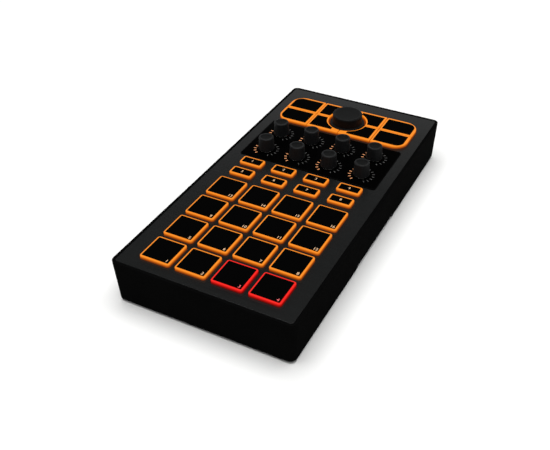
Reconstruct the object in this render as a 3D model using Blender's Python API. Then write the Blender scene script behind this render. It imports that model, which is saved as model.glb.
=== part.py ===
"""Desktop drum-pad controller: sixteen square pads, sixteen keys, eight small knobs and one large dial.

The body is a shallow moulded tray closed by a flat panel. Every pad and key is a cap that is held
under the panel by a flange and drops onto a switch. Every knob sits on a shaft that can be pressed
down in its bushing. The origin is on the ground under the middle of the body, +Z is up, and -Y is
the side with the pads, where the player sits.
"""

import math

import bmesh
import bpy

MM = 0.001
GAP = 0.3 * MM

# Body
BODY_WIDTH = 125.0 * MM
BODY_LENGTH = 250.0 * MM
BODY_CORNER = 4.2 * MM
BODY_DRAFT = 1.2 * MM
EDGE_BREAK = 0.5 * MM
FOOT_HEIGHT = 1.2 * MM
BASE_Z = FOOT_HEIGHT + GAP
RIM_Z = 32.0 * MM
RIM_WIDTH = 1.9 * MM
WALL = 3.7 * MM
INNER_CORNER = 1.5 * MM
FLOOR = 3.0 * MM
SIDE_NOTCH_LENGTH = 62.0 * MM
SIDE_NOTCH_HEIGHT = 2.0 * MM
SIDE_NOTCH_DEPTH = 1.8 * MM

# Panel
PANEL_TOP = 31.8 * MM
PANEL_THICKNESS = 1.5 * MM
PANEL_BOTTOM = PANEL_TOP - PANEL_THICKNESS
LEDGE_Z = PANEL_BOTTOM - GAP
CUTOUT_GAP = 0.35 * MM
BOSS_RADIUS = 3.0 * MM

# Pads and keys: their black faces all lie in one plane
PITCH = 25.0 * MM
COLUMNS = [(column - 1.5) * PITCH for column in range(4)]
FACE_Z = 33.95 * MM
FACE_STEP = 0.2 * MM
CAP_TOP = FACE_Z - FACE_STEP
CAP_CHAMFER = 0.45 * MM
FLANGE = 0.8 * MM
FLANGE_TOP = PANEL_BOTTOM - GAP
FLANGE_BOTTOM = 28.0 * MM
FACE_CORNER = 0.4 * MM

PAD_FRONT_Y = -103.65 * MM
PAD_HALF = 10.6 * MM
PAD_FACE_HALF = 9.45 * MM
PAD_CORNER = 1.6 * MM

BUTTON_ROWS = (7.2 * MM, -7.4 * MM)
BUTTON_HALF = (8.5 * MM, 4.4 * MM)
BUTTON_FACE_HALF = (7.15 * MM, 3.05 * MM)
BUTTON_CORNER = 1.6 * MM

KEY_CENTRE_Y = 89.7 * MM
KEY_BLOCK_HALF = (52.2 * MM, 19.0 * MM)
KEY_SEAM = 0.35 * MM
KEY_COLUMN_X = 26.1 * MM
KEY_BLOCK_CORNER = 10.0 * MM
KEY_FACE_X = (27.7 * MM, 50.3 * MM)
KEY_FACE_Y = (1.8 * MM, 16.9 * MM)
KEY_FACE_INNER_X = (6.3 * MM, 24.3 * MM)
KEY_FACE_CORNER = 8.0 * MM
KEY_ARC_RADIUS = 14.8 * MM
KEY_FACE_ARC_RADIUS = 15.65 * MM
KEY_ARC_STEPS = 8
INNER_SWITCH = (18.5 * MM, 13.2 * MM)

# Knobs
KNOB_ROWS = (52.1 * MM, 28.15 * MM)
PLATE_TOP = 32.3 * MM
PLATE_THICKNESS = 2.6 * MM
PLATE_CENTRE_Y = 41.6 * MM
PLATE_HALF = (52.4 * MM, 26.3 * MM)
PLATE_CORNER = 1.8 * MM
BUSHING_HOLE = 5.2 * MM
SHAFT_RADIUS = 3.0 * MM
SHAFT_FOOT = 22.5 * MM
KNOB_FOOT = 32.95 * MM
KNOB_TOP = 42.8 * MM
KNOB_FOOT_RADIUS = 5.85 * MM
KNOB_TOP_RADIUS = 5.3 * MM
KNOB_EDGE = 0.6 * MM
KNOB_LIP = 0.5 * MM
KNOB_DISH = 0.4 * MM
KNOB_BORE_TOP = 40.6 * MM
DIAL_SKIRT_RADIUS = 13.3 * MM
DIAL_CAP_RADIUS = 11.3 * MM
DIAL_FOOT = 31.8 * MM
DIAL_SKIRT_TOP = 32.9 * MM
DIAL_TOP = 40.4 * MM
DIAL_BORE_TOP = 38.0 * MM
DIAL_EDGE = 0.7 * MM
DIAL_SKIRT_EDGE = 0.4 * MM
DIAL_DISH = 0.15 * MM
DIAL_DISH_WIDTH = 2.0 * MM

# Inside
BOARD_BOTTOM = 17.4 * MM
BOARD_TOP = 19.0 * MM
BOARD_HALF = (57.2 * MM, 119.0 * MM)
BOARD_CORNER = 2.0 * MM
ENCODER_TOP = 26.3 * MM
ENCODER_HALF = 6.0 * MM
BUSHING_RADIUS = 4.5 * MM
BUSHING_BORE = 3.6 * MM
BUSHING_FLOOR = 21.5 * MM
BUSHING_SINK = 0.1 * MM
DIAL_BUSHING_SINK = 1.1 * MM
ENCODER_CLEARANCE = 1.5 * MM
LED_HALF = (1.6 * MM, 1.4 * MM)
LED_HEIGHT = 0.8 * MM
LED_OFFSET = 6.0 * MM
MAT_BOTTOM = BOARD_TOP + LED_HEIGHT + GAP
MAT_THICKNESS = 1.0 * MM
MAT_SPAN_X = 49.5 * MM
MAT_SPAN_Y = (-117.0 * MM, 112.0 * MM)
DOME_RADII = (3.6 * MM, 2.0 * MM)
DOME_TOP = 26.7 * MM
POST_X = 53.5 * MM
POST_ROWS = (-112.0 * MM, 2.0 * MM, 115.0 * MM)
POST_TOP = 23.7 * MM
POST_RADIUS = 3.4 * MM
POST_SHOULDER_RADIUS = 4.2 * MM
POST_CLEARANCE = 0.6 * MM
SCREW_RADIUS = 1.45 * MM
SCREW_HEAD_RADIUS = 2.75 * MM
SCREW_HEAD_GAP = 0.5 * MM
SCREW_HEAD_TOP = 3.8 * MM
SCREW_HOLE_TOP = 29.3 * MM
FOOT_RADIUS = 6.0 * MM
FOOT_PLACES = (42.0 * MM, 106.0 * MM)

# Cable socket in the back wall
SOCKET_X = -30.0 * MM
SOCKET_HALF = (6.0 * MM, 5.4 * MM)
SOCKET_CENTRE_Z = 11.7 * MM
SOCKET_MOUTH_Y = 124.0 * MM
SOCKET_DEPTH = 16.0 * MM
SOCKET_SHELL = 0.8 * MM
SOCKET_HOLLOW = 9.0 * MM
TONGUE_HALF = (2.8 * MM, 1.6 * MM)
TONGUE_RECESS = 1.5 * MM


def clear_scene():
    for old in list(bpy.data.objects):
        bpy.data.objects.remove(old)


def material(name, colour, roughness, metallic=0.0):
    made = bpy.data.materials.new(name)
    made.use_nodes = True
    shader = made.node_tree.nodes["Principled BSDF"]
    shader.inputs["Base Color"].default_value = (*colour, 1.0)
    shader.inputs["Roughness"].default_value = roughness
    shader.inputs["Metallic"].default_value = metallic
    return made


def rounded_rectangle(half_x, half_y, radii, steps, centre=(0.0, 0.0)):
    """An anticlockwise outline. radii is one radius, or one for each corner from +X +Y round to +X -Y."""
    if not isinstance(radii, (tuple, list)):
        radii = (radii,) * 4
    if not isinstance(steps, (tuple, list)):
        steps = (steps,) * 4
    points = []
    for quarter, (sign_x, sign_y) in enumerate(((1, 1), (-1, 1), (-1, -1), (1, -1))):
        radius = radii[quarter]
        middle_x = centre[0] + sign_x * (half_x - radius)
        middle_y = centre[1] + sign_y * (half_y - radius)
        for step in range(steps[quarter] + 1):
            angle = math.radians(90 * (quarter + step / steps[quarter]))
            points.append((middle_x + radius * math.cos(angle), middle_y + radius * math.sin(angle)))
    return points


def circle(radius, count, centre=(0.0, 0.0)):
    turn = 2 * math.pi / count
    return [
        (centre[0] + radius * math.cos((i + 0.5) * turn), centre[1] + radius * math.sin((i + 0.5) * turn))
        for i in range(count)
    ]


def square(half, count, centre=(0.0, 0.0)):
    """A square of side 2 * half whose points match those of a circle with the same count."""
    points = []
    for x, y in circle(1.0, count):
        reach = half / max(abs(x), abs(y))
        points.append((centre[0] + x * reach, centre[1] + y * reach))
    return points


def loft(solid, sections):
    """Adds one closed solid: sections is a list of (outline, z) with the same number of points in each."""
    loops = [[solid.verts.new((x, y, z)) for x, y in outline] for outline, z in sections]
    faces = [solid.faces.new(loops[0]), solid.faces.new(loops[-1])]
    for lower, upper in zip(loops, loops[1:]):
        for i in range(len(lower)):
            after = (i + 1) % len(lower)
            faces.append(solid.faces.new((lower[i], lower[after], upper[after], upper[i])))
    bmesh.ops.recalc_face_normals(solid, faces=faces)


def turned(solid, profile, count, centre=(0.0, 0.0)):
    """Adds one closed solid of revolution: profile is a list of (radius, z)."""
    loft(solid, [(circle(radius, count, centre), z) for radius, z in profile])


def block(solid, low, high):
    centre = ((low[0] + high[0]) / 2, (low[1] + high[1]) / 2)
    half_x = (high[0] - low[0]) / 2
    half_y = (high[1] - low[1]) / 2
    corners = [(1, 1), (-1, 1), (-1, -1), (1, -1)]
    outline = [(centre[0] + x * half_x, centre[1] + y * half_y) for x, y in corners]
    loft(solid, [(outline, low[2]), (outline, high[2])])


def place(name, solid, finish, location=(0.0, 0.0, 0.0), parent=None):
    mesh = bpy.data.meshes.new(name)
    solid.to_mesh(mesh)
    solid.free()
    mesh.materials.append(finish)
    return place_mesh(name, mesh, location, parent)


def place_mesh(name, mesh, location, parent=None):
    mesh.shade_smooth()
    mesh.set_sharp_from_angle(angle=math.radians(35))
    made = bpy.data.objects.new(name, mesh)
    made.location = location
    made.parent = parent
    bpy.context.collection.objects.link(made)
    return made


def empty(name, location):
    made = bpy.data.objects.new(name, None)
    made.location = location
    bpy.context.collection.objects.link(made)
    return made


def tool(name, solid):
    """A helper solid that a Boolean reads and no render shows."""
    mesh = bpy.data.meshes.new(name)
    solid.to_mesh(mesh)
    solid.free()
    made = bpy.data.objects.new(name, mesh)
    made.hide_render = True
    made.display_type = "WIRE"
    bpy.context.collection.objects.link(made)
    return made


def combine(target, operation, solid):
    step = target.modifiers.new(operation.lower(), "BOOLEAN")
    step.operation = operation
    step.solver = "EXACT"
    step.object = tool(f"{target.name}_{operation.lower()}", solid)


def post_places():
    return [(side * POST_X, y) for y in POST_ROWS for side in (-1, 1)]


def knob_places():
    """The small knobs: 1 to 4 in the back row from the left, 5 to 8 in the front row."""
    return [(x, y) for y in KNOB_ROWS for x in COLUMNS]


def pad_places():
    """Pad 1 is at the front left, and each row of four lies behind the one before."""
    return [(x, PAD_FRONT_Y + row * PITCH) for row in range(4) for x in COLUMNS]


def button_places():
    return [(x, y) for y in BUTTON_ROWS for x in COLUMNS]


def key_places():
    """Middle of each function key: 1 to 4 in the back row from the left, 5 to 8 in the front row."""
    half_y = KEY_BLOCK_HALF[1] / 2
    return [
        ((column - 1.5) * KEY_COLUMN_X, KEY_CENTRE_Y + side * half_y)
        for side in (1, -1)
        for column in range(4)
    ]


def key_switch_places():
    """The inner keys are pressed near their outer back or front corner, clear of the dial."""
    places = []
    for x, y in key_places():
        if abs(x) < KEY_COLUMN_X:
            x = math.copysign(INNER_SWITCH[0], x)
            y = KEY_CENTRE_Y + math.copysign(INNER_SWITCH[1], y - KEY_CENTRE_Y)
        places.append((x, y))
    return places


def make_housing_tray(finish):
    half_x = BODY_WIDTH / 2
    half_y = BODY_LENGTH / 2

    def ring(inset, radius, z):
        return rounded_rectangle(half_x - inset, half_y - inset, radius, 4), z

    solid = bmesh.new()
    loft(
        solid,
        [
            ring(BODY_DRAFT + EDGE_BREAK, BODY_CORNER - EDGE_BREAK, BASE_Z),
            ring(BODY_DRAFT, BODY_CORNER, BASE_Z + EDGE_BREAK),
            ring(0.0, BODY_CORNER, RIM_Z - EDGE_BREAK),
            ring(EDGE_BREAK, BODY_CORNER - EDGE_BREAK, RIM_Z),
            ring(RIM_WIDTH, BODY_CORNER - RIM_WIDTH, RIM_Z),
            ring(RIM_WIDTH, BODY_CORNER - RIM_WIDTH, LEDGE_Z),
            ring(WALL, INNER_CORNER, LEDGE_Z),
            ring(WALL + BODY_DRAFT, INNER_CORNER, BASE_Z + FLOOR),
        ],
    )
    tray = place("housing_tray", solid, finish)

    posts = bmesh.new()
    for centre in post_places():
        profile = [
            (POST_SHOULDER_RADIUS, BASE_Z + FLOOR - 1.0 * MM),
            (POST_SHOULDER_RADIUS, BOARD_BOTTOM - GAP),
            (POST_RADIUS, BOARD_BOTTOM - GAP),
            (POST_RADIUS, POST_TOP),
        ]
        turned(posts, profile, 12, centre)
    combine(tray, "UNION", posts)

    cuts = bmesh.new()
    for centre in post_places():
        profile = [
            (SCREW_HEAD_RADIUS + SCREW_HEAD_GAP, 0.0),
            (SCREW_HEAD_RADIUS + SCREW_HEAD_GAP, SCREW_HEAD_TOP + GAP / 2),
            (SCREW_RADIUS + GAP, SCREW_HEAD_TOP + GAP / 2),
            (SCREW_RADIUS + GAP, POST_TOP + 1.0 * MM),
        ]
        turned(cuts, profile, 8, centre)
    for side in (-1, 1):
        reach = (half_x - BODY_DRAFT - SIDE_NOTCH_DEPTH, half_x + 2.0 * MM)
        x_low, x_high = sorted((side * reach[0], side * reach[1]))
        low = (x_low, -SIDE_NOTCH_LENGTH / 2, 0.0)
        high = (x_high, SIDE_NOTCH_LENGTH / 2, BASE_Z + SIDE_NOTCH_HEIGHT)
        block(cuts, low, high)
    low = (SOCKET_X - SOCKET_HALF[0] - GAP, half_y - 8.0 * MM, SOCKET_CENTRE_Z - SOCKET_HALF[1] - GAP)
    high = (SOCKET_X + SOCKET_HALF[0] + GAP, half_y + 2.0 * MM, SOCKET_CENTRE_Z + SOCKET_HALF[1] + GAP)
    block(cuts, low, high)
    combine(tray, "DIFFERENCE", cuts)


def make_top_panel(finish):
    panel_half = (BODY_WIDTH / 2 - RIM_WIDTH - GAP, BODY_LENGTH / 2 - RIM_WIDTH - GAP)
    outline = rounded_rectangle(*panel_half, BODY_CORNER - RIM_WIDTH - GAP / 2, 3)
    solid = bmesh.new()
    loft(solid, [(outline, PANEL_BOTTOM), (outline, PANEL_TOP)])
    panel = place("top_panel", solid, finish)

    bosses = bmesh.new()
    for centre in post_places():
        turned(bosses, [(BOSS_RADIUS, POST_TOP + GAP), (BOSS_RADIUS, PANEL_BOTTOM + GAP)], 10, centre)
    combine(panel, "UNION", bosses)

    cuts = bmesh.new()
    span = (PANEL_BOTTOM - 1.0 * MM, PANEL_TOP + 1.0 * MM)

    def opening(half_x, half_y, radius, steps, centre):
        grown = (half_x + CUTOUT_GAP, half_y + CUTOUT_GAP)
        shape = rounded_rectangle(*grown, radius + CUTOUT_GAP, steps, centre)
        loft(cuts, [(shape, span[0]), (shape, span[1])])

    for centre in pad_places():
        opening(PAD_HALF, PAD_HALF, PAD_CORNER, 1, centre)
    for centre in button_places():
        opening(*BUTTON_HALF, BUTTON_CORNER, 1, centre)
    opening(*KEY_BLOCK_HALF, KEY_BLOCK_CORNER, 4, (0.0, KEY_CENTRE_Y))
    opening(*PLATE_HALF, PLATE_CORNER, 2, (0.0, PLATE_CENTRE_Y))
    for centre in post_places():
        turned(cuts, [(SCREW_RADIUS + GAP, POST_TOP - MM), (SCREW_RADIUS + GAP, SCREW_HOLE_TOP)], 8, centre)
    combine(panel, "DIFFERENCE", cuts)


def make_encoder_plate(finish):
    shape = rounded_rectangle(*PLATE_HALF, PLATE_CORNER, 2)
    lip = rounded_rectangle(PLATE_HALF[0] + FLANGE, PLATE_HALF[1] + FLANGE, PLATE_CORNER, 2)
    solid = bmesh.new()
    bottom = PLATE_TOP - PLATE_THICKNESS
    loft(solid, [(lip, bottom), (lip, FLANGE_TOP), (shape, FLANGE_TOP), (shape, PLATE_TOP)])
    plate = place("encoder_plate", solid, finish, (0.0, PLATE_CENTRE_Y, 0.0))

    cuts = bmesh.new()
    for centre in knob_places():
        turned(cuts, [(BUSHING_HOLE, PLATE_TOP - 4.0 * MM), (BUSHING_HOLE, PLATE_TOP + 1.0 * MM)], 12, centre)
    combine(plate, "DIFFERENCE", cuts)


def cap_mesh(name, outline, face, finish):
    """A lit cap. outline(grow) and face(grow) give the body and the black face, grown by that much."""
    solid = bmesh.new()
    loft(
        solid,
        [
            (outline(FLANGE), FLANGE_BOTTOM - FACE_Z),
            (outline(FLANGE), FLANGE_TOP - FACE_Z),
            (outline(0.0), FLANGE_TOP - FACE_Z),
            (outline(0.0), CAP_TOP - CAP_CHAMFER - FACE_Z),
            (outline(-CAP_CHAMFER), CAP_TOP - FACE_Z),
            (face(0.0), CAP_TOP - FACE_Z),
            (face(0.0), 0.0),
        ],
    )
    mesh = bpy.data.meshes.new(name)
    solid.to_mesh(mesh)
    solid.free()
    mesh.materials.append(finish)
    return mesh


def make_pads(orange, red):
    def outline(grow):
        return rounded_rectangle(PAD_HALF + grow, PAD_HALF + grow, PAD_CORNER, 1)

    def face(_grow):
        return rounded_rectangle(PAD_FACE_HALF, PAD_FACE_HALF, FACE_CORNER, 1)

    lit_red = (3, 4)
    for number, (x, y) in enumerate(pad_places(), start=1):
        mesh = cap_mesh("pad", outline, face, red if number in lit_red else orange)
        place_mesh(f"pad_{number:02d}", mesh, (x, y, FACE_Z))


def make_select_buttons(finish):
    def outline(grow):
        return rounded_rectangle(BUTTON_HALF[0] + grow, BUTTON_HALF[1] + grow, BUTTON_CORNER, 1)

    def face(_grow):
        return rounded_rectangle(*BUTTON_FACE_HALF, FACE_CORNER, 1)

    mesh = cap_mesh("select_button", outline, face, finish)
    for number, (x, y) in enumerate(button_places(), start=1):
        place_mesh(f"select_button_{number}", mesh, (x, y, FACE_Z))


def mirrored(points, sign_x, sign_y, middle):
    """The points of the +X +Y key moved to another quarter, about that key's middle and anticlockwise."""
    moved = [(sign_x * x - middle[0], sign_y * y - middle[1]) for x, y in points]
    return moved if sign_x * sign_y > 0 else moved[::-1]


def outer_key_outline(grow):
    """The +X +Y outer key, about the block's centre. Only its two outer sides grow."""
    low = (KEY_COLUMN_X + KEY_SEAM, KEY_SEAM)
    high = (KEY_BLOCK_HALF[0] + grow, KEY_BLOCK_HALF[1] + grow)
    if grow < 0:
        low = (low[0] - grow, low[1] - grow)
    centre = ((low[0] + high[0]) / 2, (low[1] + high[1]) / 2)
    radii = (KEY_BLOCK_CORNER, FACE_CORNER, FACE_CORNER, FACE_CORNER)
    return rounded_rectangle((high[0] - low[0]) / 2, (high[1] - low[1]) / 2, radii, (4, 1, 1, 1), centre)


def outer_key_face(_grow):
    centre = (sum(KEY_FACE_X) / 2, sum(KEY_FACE_Y) / 2)
    half = ((KEY_FACE_X[1] - KEY_FACE_X[0]) / 2, (KEY_FACE_Y[1] - KEY_FACE_Y[0]) / 2)
    radii = (KEY_FACE_CORNER, FACE_CORNER, FACE_CORNER, FACE_CORNER)
    return rounded_rectangle(*half, radii, (4, 1, 1, 1), centre)


def arc(radius, start, end):
    """Points on a circle about the block's centre, clockwise from one angle to the other."""
    return [
        (radius * math.cos(start + (end - start) * i / KEY_ARC_STEPS),
         radius * math.sin(start + (end - start) * i / KEY_ARC_STEPS))
        for i in range(KEY_ARC_STEPS + 1)
    ]


def inner_key_outline(grow):
    """The +X +Y inner key, cut back by the circle that the dial stands in. Only its back side grows."""
    shrink = max(0.0, -grow)
    low = KEY_SEAM + shrink
    right = KEY_COLUMN_X - KEY_SEAM - shrink
    back = KEY_BLOCK_HALF[1] + grow
    radius = KEY_ARC_RADIUS + shrink
    curve = arc(radius, math.acos(low / radius), math.asin(low / radius))
    return [(right, low), (right, back), (low, back), *curve]


def inner_key_face(_grow):
    low, back = KEY_FACE_Y
    radius = KEY_FACE_ARC_RADIUS
    left, right = KEY_FACE_INNER_X
    curve = arc(radius, math.acos(left / radius), math.asin(low / radius))
    return [(right, low), (right, back), (left, back), *curve]


def make_function_keys(finish):
    for number, (x, y) in enumerate(key_places(), start=1):
        sign_x = math.copysign(1, x)
        sign_y = math.copysign(1, y - KEY_CENTRE_Y)
        middle = (x, y - KEY_CENTRE_Y)
        is_outer = abs(x) > KEY_COLUMN_X
        body = outer_key_outline if is_outer else inner_key_outline
        top = outer_key_face if is_outer else inner_key_face

        def outline(grow):
            return mirrored(body(grow), sign_x, sign_y, middle)

        def face(grow):
            return mirrored(top(grow), sign_x, sign_y, middle)

        mesh = cap_mesh("function_key", outline, face, finish)
        place_mesh(f"function_key_{number}", mesh, (x, y, FACE_Z))


def make_knobs(rubber, steel):
    knob = bmesh.new()
    profile = [
        (SHAFT_RADIUS + GAP, KNOB_BORE_TOP - KNOB_FOOT),
        (SHAFT_RADIUS + GAP, 0.0),
        (KNOB_FOOT_RADIUS, 0.0),
        (KNOB_TOP_RADIUS, KNOB_TOP - KNOB_FOOT - KNOB_EDGE),
        (KNOB_TOP_RADIUS - KNOB_EDGE, KNOB_TOP - KNOB_FOOT),
        (KNOB_TOP_RADIUS - KNOB_EDGE - KNOB_LIP, KNOB_TOP - KNOB_FOOT),
        (KNOB_TOP_RADIUS - KNOB_EDGE - 2 * KNOB_LIP, KNOB_TOP - KNOB_FOOT - KNOB_DISH),
    ]
    turned(knob, profile, 16)
    knob_mesh = bpy.data.meshes.new("encoder_knob")
    knob.to_mesh(knob_mesh)
    knob.free()
    knob_mesh.materials.append(rubber)

    shaft = bmesh.new()
    turned(shaft, [(SHAFT_RADIUS, 0.0), (SHAFT_RADIUS, KNOB_BORE_TOP - GAP - SHAFT_FOOT)], 10)
    shaft_mesh = bpy.data.meshes.new("encoder_shaft")
    shaft.to_mesh(shaft_mesh)
    shaft.free()
    shaft_mesh.materials.append(steel)

    for number, (x, y) in enumerate(knob_places(), start=1):
        axis = empty(f"encoder_axis_{number}", (x, y, SHAFT_FOOT))
        place_mesh(f"encoder_shaft_{number}", shaft_mesh, (0.0, 0.0, 0.0), axis)
        place_mesh(f"encoder_knob_{number}", knob_mesh, (0.0, 0.0, KNOB_FOOT - SHAFT_FOOT), axis)


def make_dial(rubber, steel):
    axis = empty("dial_axis", (0.0, KEY_CENTRE_Y, SHAFT_FOOT))
    shaft = bmesh.new()
    turned(shaft, [(SHAFT_RADIUS, 0.0), (SHAFT_RADIUS, DIAL_BORE_TOP - GAP - SHAFT_FOOT)], 10)
    place("dial_shaft", shaft, steel, parent=axis)

    dial = bmesh.new()
    profile = [
        (SHAFT_RADIUS + GAP, DIAL_BORE_TOP - DIAL_FOOT),
        (SHAFT_RADIUS + GAP, 0.0),
        (DIAL_SKIRT_RADIUS, 0.0),
        (DIAL_SKIRT_RADIUS, DIAL_SKIRT_TOP - DIAL_FOOT - DIAL_SKIRT_EDGE),
        (DIAL_SKIRT_RADIUS - DIAL_SKIRT_EDGE, DIAL_SKIRT_TOP - DIAL_FOOT),
        (DIAL_CAP_RADIUS + DIAL_SKIRT_EDGE, DIAL_SKIRT_TOP - DIAL_FOOT + DIAL_DISH),
        (DIAL_CAP_RADIUS, DIAL_SKIRT_TOP - DIAL_FOOT + DIAL_EDGE),
        (DIAL_CAP_RADIUS, DIAL_TOP - DIAL_FOOT - DIAL_EDGE),
        (DIAL_CAP_RADIUS - DIAL_EDGE, DIAL_TOP - DIAL_FOOT),
        (DIAL_CAP_RADIUS - DIAL_DISH_WIDTH, DIAL_TOP - DIAL_FOOT - DIAL_DISH),
    ]
    turned(dial, profile, 32)
    place("dial_knob", dial, rubber, (0.0, 0.0, DIAL_FOOT - SHAFT_FOOT), axis)


def add_encoder_body(solid, centre, bushing_top):
    """A square metal can on the board with the bushing that its shaft turns and slides in."""
    loft(
        solid,
        [
            (square(ENCODER_HALF, 8, centre), BOARD_TOP - GAP),
            (square(ENCODER_HALF, 8, centre), ENCODER_TOP),
            (circle(BUSHING_RADIUS, 8, centre), ENCODER_TOP),
            (circle(BUSHING_RADIUS, 8, centre), bushing_top),
            (circle(BUSHING_BORE, 8, centre), bushing_top),
            (circle(BUSHING_BORE, 8, centre), BUSHING_FLOOR),
        ],
    )


def make_circuit_board(finish):
    """The board with what is soldered to it: nine encoder bodies and a light under every pad and key."""
    outline = rounded_rectangle(*BOARD_HALF, BOARD_CORNER, 1)
    solid = bmesh.new()
    loft(solid, [(outline, BOARD_BOTTOM), (outline, BOARD_TOP)])
    board = place("circuit_board", solid, finish)

    soldered = bmesh.new()
    for centre in knob_places():
        add_encoder_body(soldered, centre, PLATE_TOP - BUSHING_SINK)
    add_encoder_body(soldered, (0.0, KEY_CENTRE_Y), DIAL_FOOT - DIAL_BUSHING_SINK)
    for x, y in pad_places() + button_places() + key_switch_places():
        low = (x + LED_OFFSET - LED_HALF[0], y - LED_HALF[1], BOARD_TOP - GAP)
        high = (x + LED_OFFSET + LED_HALF[0], y + LED_HALF[1], BOARD_TOP + LED_HEIGHT)
        block(soldered, low, high)
    combine(board, "UNION", soldered)

    cuts = bmesh.new()
    clearance = POST_RADIUS + POST_CLEARANCE
    for centre in post_places():
        turned(cuts, [(clearance, BOARD_BOTTOM - MM), (clearance, BOARD_TOP + MM)], 12, centre)
    combine(board, "DIFFERENCE", cuts)


def make_switch_mat(finish):
    """A rubber sheet over the board with a springy dome under every pad and key."""
    low = (-MAT_SPAN_X, MAT_SPAN_Y[0], MAT_BOTTOM)
    high = (MAT_SPAN_X, MAT_SPAN_Y[1], MAT_BOTTOM + MAT_THICKNESS)
    sheet = bmesh.new()
    block(sheet, low, high)
    mat = place("switch_mat", sheet, finish)

    domes = bmesh.new()
    for centre in pad_places() + button_places() + key_switch_places():
        turned(domes, [(DOME_RADII[0], MAT_BOTTOM + GAP), (DOME_RADII[1], DOME_TOP)], 8, centre)
    combine(mat, "UNION", domes)

    cuts = bmesh.new()
    bottom = MAT_BOTTOM - MM
    top = MAT_BOTTOM + MAT_THICKNESS + MM
    reach_x = COLUMNS[-1] + ENCODER_HALF + ENCODER_CLEARANCE
    reach_y = ENCODER_HALF + ENCODER_CLEARANCE
    block(cuts, (-reach_x, KNOB_ROWS[1] - reach_y, bottom), (reach_x, KNOB_ROWS[0] + reach_y, top))
    block(cuts, (-reach_y, KEY_CENTRE_Y - reach_y, bottom), (reach_y, KEY_CENTRE_Y + reach_y, top))
    combine(mat, "DIFFERENCE", cuts)


def make_usb_socket(finish):
    """A square-mouthed cable socket that hangs under the board, with a contact tongue in its hollow."""
    solid = bmesh.new()
    low_z = SOCKET_CENTRE_Z - SOCKET_HALF[1]
    high_z = SOCKET_CENTRE_Z + SOCKET_HALF[1]
    back_y = SOCKET_MOUTH_Y - SOCKET_DEPTH
    low = (SOCKET_X - SOCKET_HALF[0], back_y, low_z)
    high = (SOCKET_X + SOCKET_HALF[0], SOCKET_MOUTH_Y, high_z)
    block(solid, low, high)
    socket = place("usb_socket", solid, finish)

    hollow = bmesh.new()
    low = (low[0] + SOCKET_SHELL, SOCKET_MOUTH_Y - SOCKET_HOLLOW, low_z + SOCKET_SHELL)
    high = (high[0] - SOCKET_SHELL, SOCKET_MOUTH_Y + MM, high_z - SOCKET_SHELL)
    block(hollow, low, high)
    combine(socket, "DIFFERENCE", hollow)

    tongue = bmesh.new()
    low = (SOCKET_X - TONGUE_HALF[0], SOCKET_MOUTH_Y - SOCKET_HOLLOW - MM, SOCKET_CENTRE_Z - TONGUE_HALF[1])
    high = (SOCKET_X + TONGUE_HALF[0], SOCKET_MOUTH_Y - TONGUE_RECESS, SOCKET_CENTRE_Z + TONGUE_HALF[1])
    block(tongue, low, high)
    combine(socket, "UNION", tongue)


def make_rubber_feet(finish):
    foot = bmesh.new()
    profile = [(FOOT_RADIUS - GAP, 0.0), (FOOT_RADIUS, GAP), (FOOT_RADIUS, FOOT_HEIGHT)]
    turned(foot, profile, 16)
    mesh = bpy.data.meshes.new("rubber_foot")
    foot.to_mesh(mesh)
    foot.free()
    mesh.materials.append(finish)
    places = [(side_x * FOOT_PLACES[0], side_y * FOOT_PLACES[1]) for side_y in (-1, 1) for side_x in (-1, 1)]
    for number, (x, y) in enumerate(places, start=1):
        place_mesh(f"rubber_foot_{number}", mesh, (x, y, 0.0))


def main():
    clear_scene()
    black_plastic = material("moulded_black_plastic", (0.007, 0.007, 0.008), 0.5)
    panel_metal = material("brushed_dark_panel", (0.045, 0.046, 0.046), 0.42, 0.6)
    gloss_black = material("gloss_black_plate", (0.006, 0.006, 0.007), 0.2)
    orange = material("lit_orange_silicone", (1.0, 0.23, 0.01), 0.4)
    red = material("lit_red_silicone", (1.0, 0.01, 0.005), 0.4)
    rubber = material("soft_grey_knob", (0.02, 0.02, 0.022), 0.55)
    steel = material("plated_steel", (0.6, 0.6, 0.6), 0.3, 1.0)
    board_green = material("circuit_board_green", (0.01, 0.09, 0.03), 0.45)
    mat_rubber = material("translucent_mat_rubber", (0.45, 0.44, 0.42), 0.6)
    foot_rubber = material("foot_rubber", (0.02, 0.02, 0.02), 0.85)

    make_housing_tray(black_plastic)
    make_top_panel(panel_metal)
    make_encoder_plate(gloss_black)
    make_pads(orange, red)
    make_select_buttons(orange)
    make_function_keys(orange)
    make_knobs(rubber, steel)
    make_dial(rubber, steel)
    make_circuit_board(board_green)
    make_switch_mat(mat_rubber)
    make_usb_socket(steel)
    make_rubber_feet(foot_rubber)


main()
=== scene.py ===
import math

import bmesh
import bpy
from bpy.props import FloatProperty, FloatVectorProperty, IntProperty, PointerProperty
from mathutils import Matrix, Vector


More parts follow.
